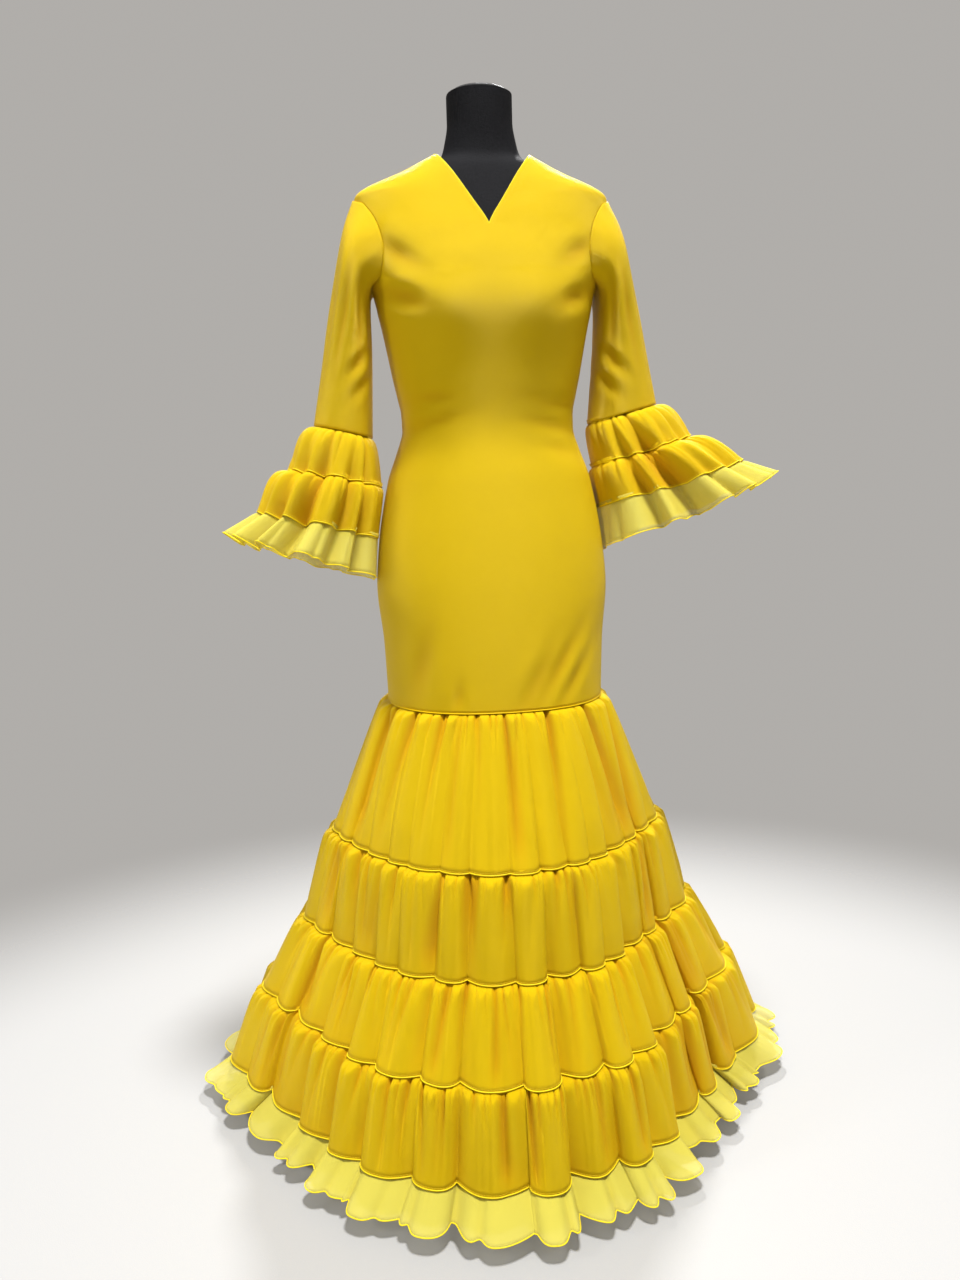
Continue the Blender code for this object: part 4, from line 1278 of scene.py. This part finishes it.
def follow(name, lines, closed, tree, **inputs):
    """The mesh that a tree makes along lines of points."""
    corners, edges = [], []
    for line in lines:
        first = len(corners)
        corners += [tuple(point) for point in line]
        count = len(line)
        edges += [(first + i, first + i + 1) for i in range(count - 1)]
        if closed:
            edges.append((first + count - 1, first))
    mesh = bpy.data.meshes.new(name)
    mesh.from_pydata(corners, edges, [])
    guide = bpy.data.objects.new(f"{name}_guide", mesh)
    bpy.context.scene.collection.objects.link(guide)
    step = guide.modifiers.new("follow", "NODES")
    step.node_group = tree
    for socket in tree.interface.items_tree:
        if socket.item_type == "SOCKET" and socket.in_out == "INPUT" and socket.name in inputs:
            step[socket.identifier] = inputs[socket.name]
    graph = bpy.context.evaluated_depsgraph_get()
    made = bpy.data.meshes.new_from_object(guide.evaluated_get(graph))
    made.name = name
    bpy.data.objects.remove(guide, do_unlink=True)
    bpy.data.meshes.remove(mesh)
    print(f"{name}: {len(made.polygons)} faces along {len(lines)} lines")
    return add_object(name, made, inputs["Material"])


# %% [markdown]
# The edges are read from the grids that made the cloth. A line of stitches lies on the
# face of the cloth, a few millimetres up from the edge, so it is read between two rows
# and lifted off along the surface's outward direction.

# %% Add the edges and the stitches
EDGE_RADIUS = {"tier": 0.0009, "frill": 0.0009, "neck": 0.0006}
STITCH = {"step": 0.0042, "length": 0.0028, "radius": 0.00028}
STITCH_UP = 0.0042
EDGE_UP = 0.0016


def add_cord(name, lines, closed, kind, material):
    inputs = {"Radius": EDGE_RADIUS[kind], "Material": material}
    return follow(name, lines, closed, CORD_TREE, **inputs)


def add_rods(name, lines, closed, size):
    inputs = {"Step": size["step"], "Length": size["length"], "Radius": size["radius"]}
    return follow(name, lines, closed, STITCH_TREE, Material=THREAD_FINISH, **inputs)


def line_above(points, up):
    """A line on the face of the cloth, a distance above its lower edge."""
    step = np.linalg.norm(points[-1] - points[-2], axis=1)[:, None]
    share = np.clip(up / step, 0, 1)
    face = surface_normals(points[-3:], True)[-1]
    return points[-1] * (1 - share) + points[-2] * share + face * (CLOTH_THICK / 2 + 0.0001)


TRIMS = {}
for name, piece in PIECES.items():
    points = piece["points"]
    if name.endswith("frill"):
        TRIMS[name] = [add_cord(f"{name}_edge", [points[-1]], True, "frill", EDGE_FINISH)]
    elif name.startswith(("skirt_tier", "cuff")):
        roll = add_cord(f"{name}_edge", [line_above(points, EDGE_UP)], True, "tier", EDGE_FINISH)
        sewn = add_rods(f"{name}_stitches", [line_above(points, STITCH_UP)], True, STITCH)
        TRIMS[name] = [roll, sewn]


def inset_line(rows, inset):
    """The line that stays a distance in from the first point of every row."""
    line = []
    for row in rows:
        along = np.concatenate([[0], np.cumsum(np.linalg.norm(np.diff(row, axis=0), axis=1))])
        line.append([np.interp(inset, along, row[:, k]) for k in range(3)])
    return np.array(line)


# %% [markdown]
# The neckline is faced inside and stitched round. The V of the front is open down to its
# foot, and the two backs meet at the nape. The zip runs down between the backs, hidden
# behind their turned edges, so only its fine coil shows in the slit.

# %% Finish the neckline, the armholes and the zip
NECK_STITCH_IN = 0.006
NECK_STITCH_OUT = 0.0004
SHOULDER_ROWS = 2 * ROWS_BETWEEN
V_ROWS = SHOULDER_ROWS + 2 * ROWS_BETWEEN


def lifted(line, away):
    """A line moved outwards from the middle of the body."""
    out = line * np.array([1.0, 1.0, 0.0])
    return line + out / np.linalg.norm(out, axis=1, keepdims=True) * away


def neck_edges(name):
    """The lines of a panel's neckline, from the neck point down, and the rows behind them."""
    points = PIECES[name]["points"]
    if name == "front":
        rows = points[: V_ROWS + 1]
        return [rows[:, : PANEL_COLUMNS + 1][:, ::-1], rows[:, PANEL_COLUMNS + 1 :]]
    rows = points[: SHOULDER_ROWS + 1]
    return [rows[:, ::-1] if name == "back_left" else rows]


for name in ("front", "back_left", "back_right"):
    edges = neck_edges(name)
    sewn = [lifted(inset_line(rows, NECK_STITCH_IN), NECK_STITCH_OUT) for rows in edges]
    hip = [PIECES[name]["points"][-1]]
    TRIMS[name] = [
        add_cord(f"{name}_neck_edge", [rows[:, 0] for rows in edges], False, "neck", EDGE_FINISH),
        add_rods(f"{name}_neck_stitches", sewn, False, STITCH),
        add_cord(f"{name}_hip_edge", hip, False, "tier", CLOTH_FINISH),
    ]
for side in ("left", "right"):
    top = [PIECES[f"sleeve_{side}"]["points"][0]]
    TRIMS[f"sleeve_{side}"] = [add_cord(f"armhole_{side}_seam", top, True, "neck", CLOTH_FINISH)]

ZIP_FOOT_Z, ZIP_HEAD_Z = 0.806, 1.398
ZIP_COIL = {"step": 0.0014, "length": 0.0008, "radius": 0.00035, "inside": 0.0004}
ZIP_POINTS = 80
coil_z = np.linspace(ZIP_FOOT_Z, ZIP_HEAD_Z, ZIP_POINTS)
coil_line = body_points(np.full(ZIP_POINTS, math.pi), coil_z)
coil_line[:, 1] -= ZIP_COIL["inside"]
ZIP_TEETH = add_rods("zip_coil", [coil_line], False, ZIP_COIL)

# %% [markdown]
# ## The dress form
#
# The dress hangs on a plain form with no head, arms or legs, covered in black jersey. Its
# torso follows the body's outline a few millimetres inside the cloth, and its neck rises
# above the shoulders. It could be a turned solid, but a body isn't round, so it is a loft
# of the same full ovals with a flat foot. The cap, pole and base keep the part's shape.

# %% Build the form's torso
EASE = 0.0055
FORM_FOOT_Z = 0.700
FORM_SHOULDER_Z = 1.440
NECK = table(
    "z half_width front back",
    (1.4600, 0.0600, 0.0430, 0.0485), (1.4800, 0.0530, 0.0420, 0.0480),
    (1.5100, 0.0480, 0.0430, 0.0470), (1.5460, 0.0480, 0.0440, 0.0470),
)
FORM_COLUMNS = 112
FORM_ROWS, NECK_ROWS = 90, 26


def make_form():
    angle = np.linspace(-math.pi, math.pi, FORM_COLUMNS, endpoint=False)
    body_z = np.linspace(FORM_FOOT_Z, FORM_SHOULDER_Z, FORM_ROWS)
    rings = [body_points(angle, np.full(FORM_COLUMNS, z), -EASE) for z in body_z]
    keys = ("half_width", "front", "back")
    shoulder = {key: float(body_size(key, FORM_SHOULDER_Z)) - EASE for key in keys}
    rows = [dict(shoulder, z=FORM_SHOULDER_Z)] + NECK
    places = [row["z"] for row in rows]
    for z in np.linspace(FORM_SHOULDER_Z, places[-1], NECK_ROWS)[1:]:
        x, y = oval(angle, *(smooth_curve(z, places, [row[key] for row in rows]) for key in keys))
        rings.append(np.stack([x, y, z + 0 * x], axis=-1))
    points = np.array(rings)[::-1]
    count = len(points) * FORM_COLUMNS
    faces, _, _, _ = cloth_grid(points, True, None)
    faces.append(list(range(FORM_COLUMNS))[::-1])
    faces.append(list(range(count - FORM_COLUMNS, count)))
    mesh = bpy.data.meshes.new("form_torso_jersey")
    mesh.from_pydata(points.reshape(-1, 3), [], faces)
    solid = bmesh.new()
    solid.from_mesh(mesh)
    bmesh.ops.recalc_face_normals(solid, faces=solid.faces)
    solid.to_mesh(mesh)
    solid.free()
    made = add_object("form_torso_jersey", mesh, JERSEY)
    mesh.set_sharp_from_angle(angle=math.radians(50))
    return made


FORM = make_form()

# %% [markdown]
# ## The floor and the light
#
# The dress stands on a plain pale floor that fades out into the grey round it. The light is
# that of a showroom: broad lamps overhead, a little behind the dress, which brighten
# whatever faces up, and softer light from the front that leaves the upright body in half
# shade.


# %% Floor, lamps and background
FLOOR_SIZE = 5.2
FLOOR_MIDDLE = (0.0, -0.55, 0.0)
FLOOR_PALE = (0.41, 0.408, 0.404, 1.0)
FLOOR_WORN = (0.385, 0.383, 0.379, 1.0)
BACKGROUND = {"colour": (0.56, 0.54, 0.515, 1.0), "strength": 0.78}
LAMPS = [
    {"name": "overhead", "place": (0.40, -0.80, 5.2), "aim": (0, 0, 0.5), "size": 0.9, "watts": 370},
    {"name": "front", "place": (-2.6, -0.9, 1.7), "aim": (0, 0, 0.60), "size": 0.6, "watts": 18},
    {"name": "back", "place": (0.5, 1.9, 3.2), "aim": (0, 0, 0.5), "size": 0.4, "watts": 95},
]


def add_floor():
    finish = Finish("pale_floor")
    values = {0: finish.place(), 1: FLOOR_MIDDLE}
    away = finish.node("ShaderNodeVectorMath", {"operation": "DISTANCE"}, values, out="Value")
    near = finish.node(
        "ShaderNodeMapRange", {"interpolation_type": "SMOOTHSTEP"},
        {"Value": away, "From Min": 1.9, "From Max": 1.1},
    )
    speck = finish.noise(600.0, 2.0)
    finish.set(
        Base_Color=finish.mix(speck, FLOOR_PALE, FLOOR_WORN),
        Alpha=near,
        Roughness=0.55 + speck * 0.1,
        Normal=finish.bump(speck, 0.0002),
    )
    mesh = bpy.data.meshes.new("floor")
    h = FLOOR_SIZE / 2
    mesh.from_pydata([(-h, -h, 0), (h, -h, 0), (h, h, 0), (-h, h, 0)], [], [(0, 1, 2, 3)])
    floor = add_object("floor", mesh, finish.material)


def add_lamp(lamp):
    data = bpy.data.lights.new(lamp["name"], "AREA")
    data.shape = "DISK"
    data.size = lamp["size"]
    data.energy = lamp["watts"]
    made = bpy.data.objects.new(lamp["name"], data)
    bpy.context.scene.collection.objects.link(made)
    made.location = lamp["place"]
    aim = Vector(lamp["aim"]) - Vector(lamp["place"])
    made.rotation_euler = aim.to_track_quat("-Z", "Y").to_euler()


def add_background():
    world = bpy.data.worlds.new("showroom")
    world.use_nodes = True
    sky = world.node_tree.nodes["Background"]
    sky.inputs["Color"].default_value = BACKGROUND["colour"]
    sky.inputs["Strength"].default_value = BACKGROUND["strength"]
    bpy.context.scene.world = world


add_floor()
add_background()
for lamp in LAMPS:
    add_lamp(lamp)

# %% [markdown]
# ## Each piece on the dress
#
# Every visible piece rides on the dress and takes the place of its plain solid in the part,
# which is hidden. The size it was cut to is rounded up to half a centimetre, and what it
# hangs from is looked up. A gathered strip is as wide as its lower edge is long. The
# fitted panels are cut to a curve.

# %% Bind every piece to the part
ABOVE = {"skirt_tier_1": "front", "skirt_frill": "skirt_tier_4"}
for number in (2, 3, 4):
    ABOVE[f"skirt_tier_{number}"] = f"skirt_tier_{number - 1}"
for side in ("left", "right"):
    ABOVE[f"cuff_{side}_upper_flounce"] = f"sleeve_{side}"
    ABOVE[f"cuff_{side}_lower_flounce"] = f"cuff_{side}_upper_flounce"
    ABOVE[f"cuff_{side}_frill"] = f"cuff_{side}_lower_flounce"


def rests_on(name):
    """What a piece hangs from: the cloth above it, or the form."""
    return [PIECES[ABOVE[name]]["cloth"].name if name in ABOVE else FORM.name]


for name, piece in PIECES.items():
    cloth, cut = piece["cloth"], piece["cut"]
    trims = TRIMS.get(name, [])
    for thing in [cloth] + trims:
        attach(thing, "dress")
    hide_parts(name)
    width = math.ceil(cut["width"] * 200) / 200
    length = math.ceil(cut["length"] * 200) / 200
    rests_on(name)

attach(FORM, "dress")
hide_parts("form_torso")
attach(ZIP_TEETH, "dress")
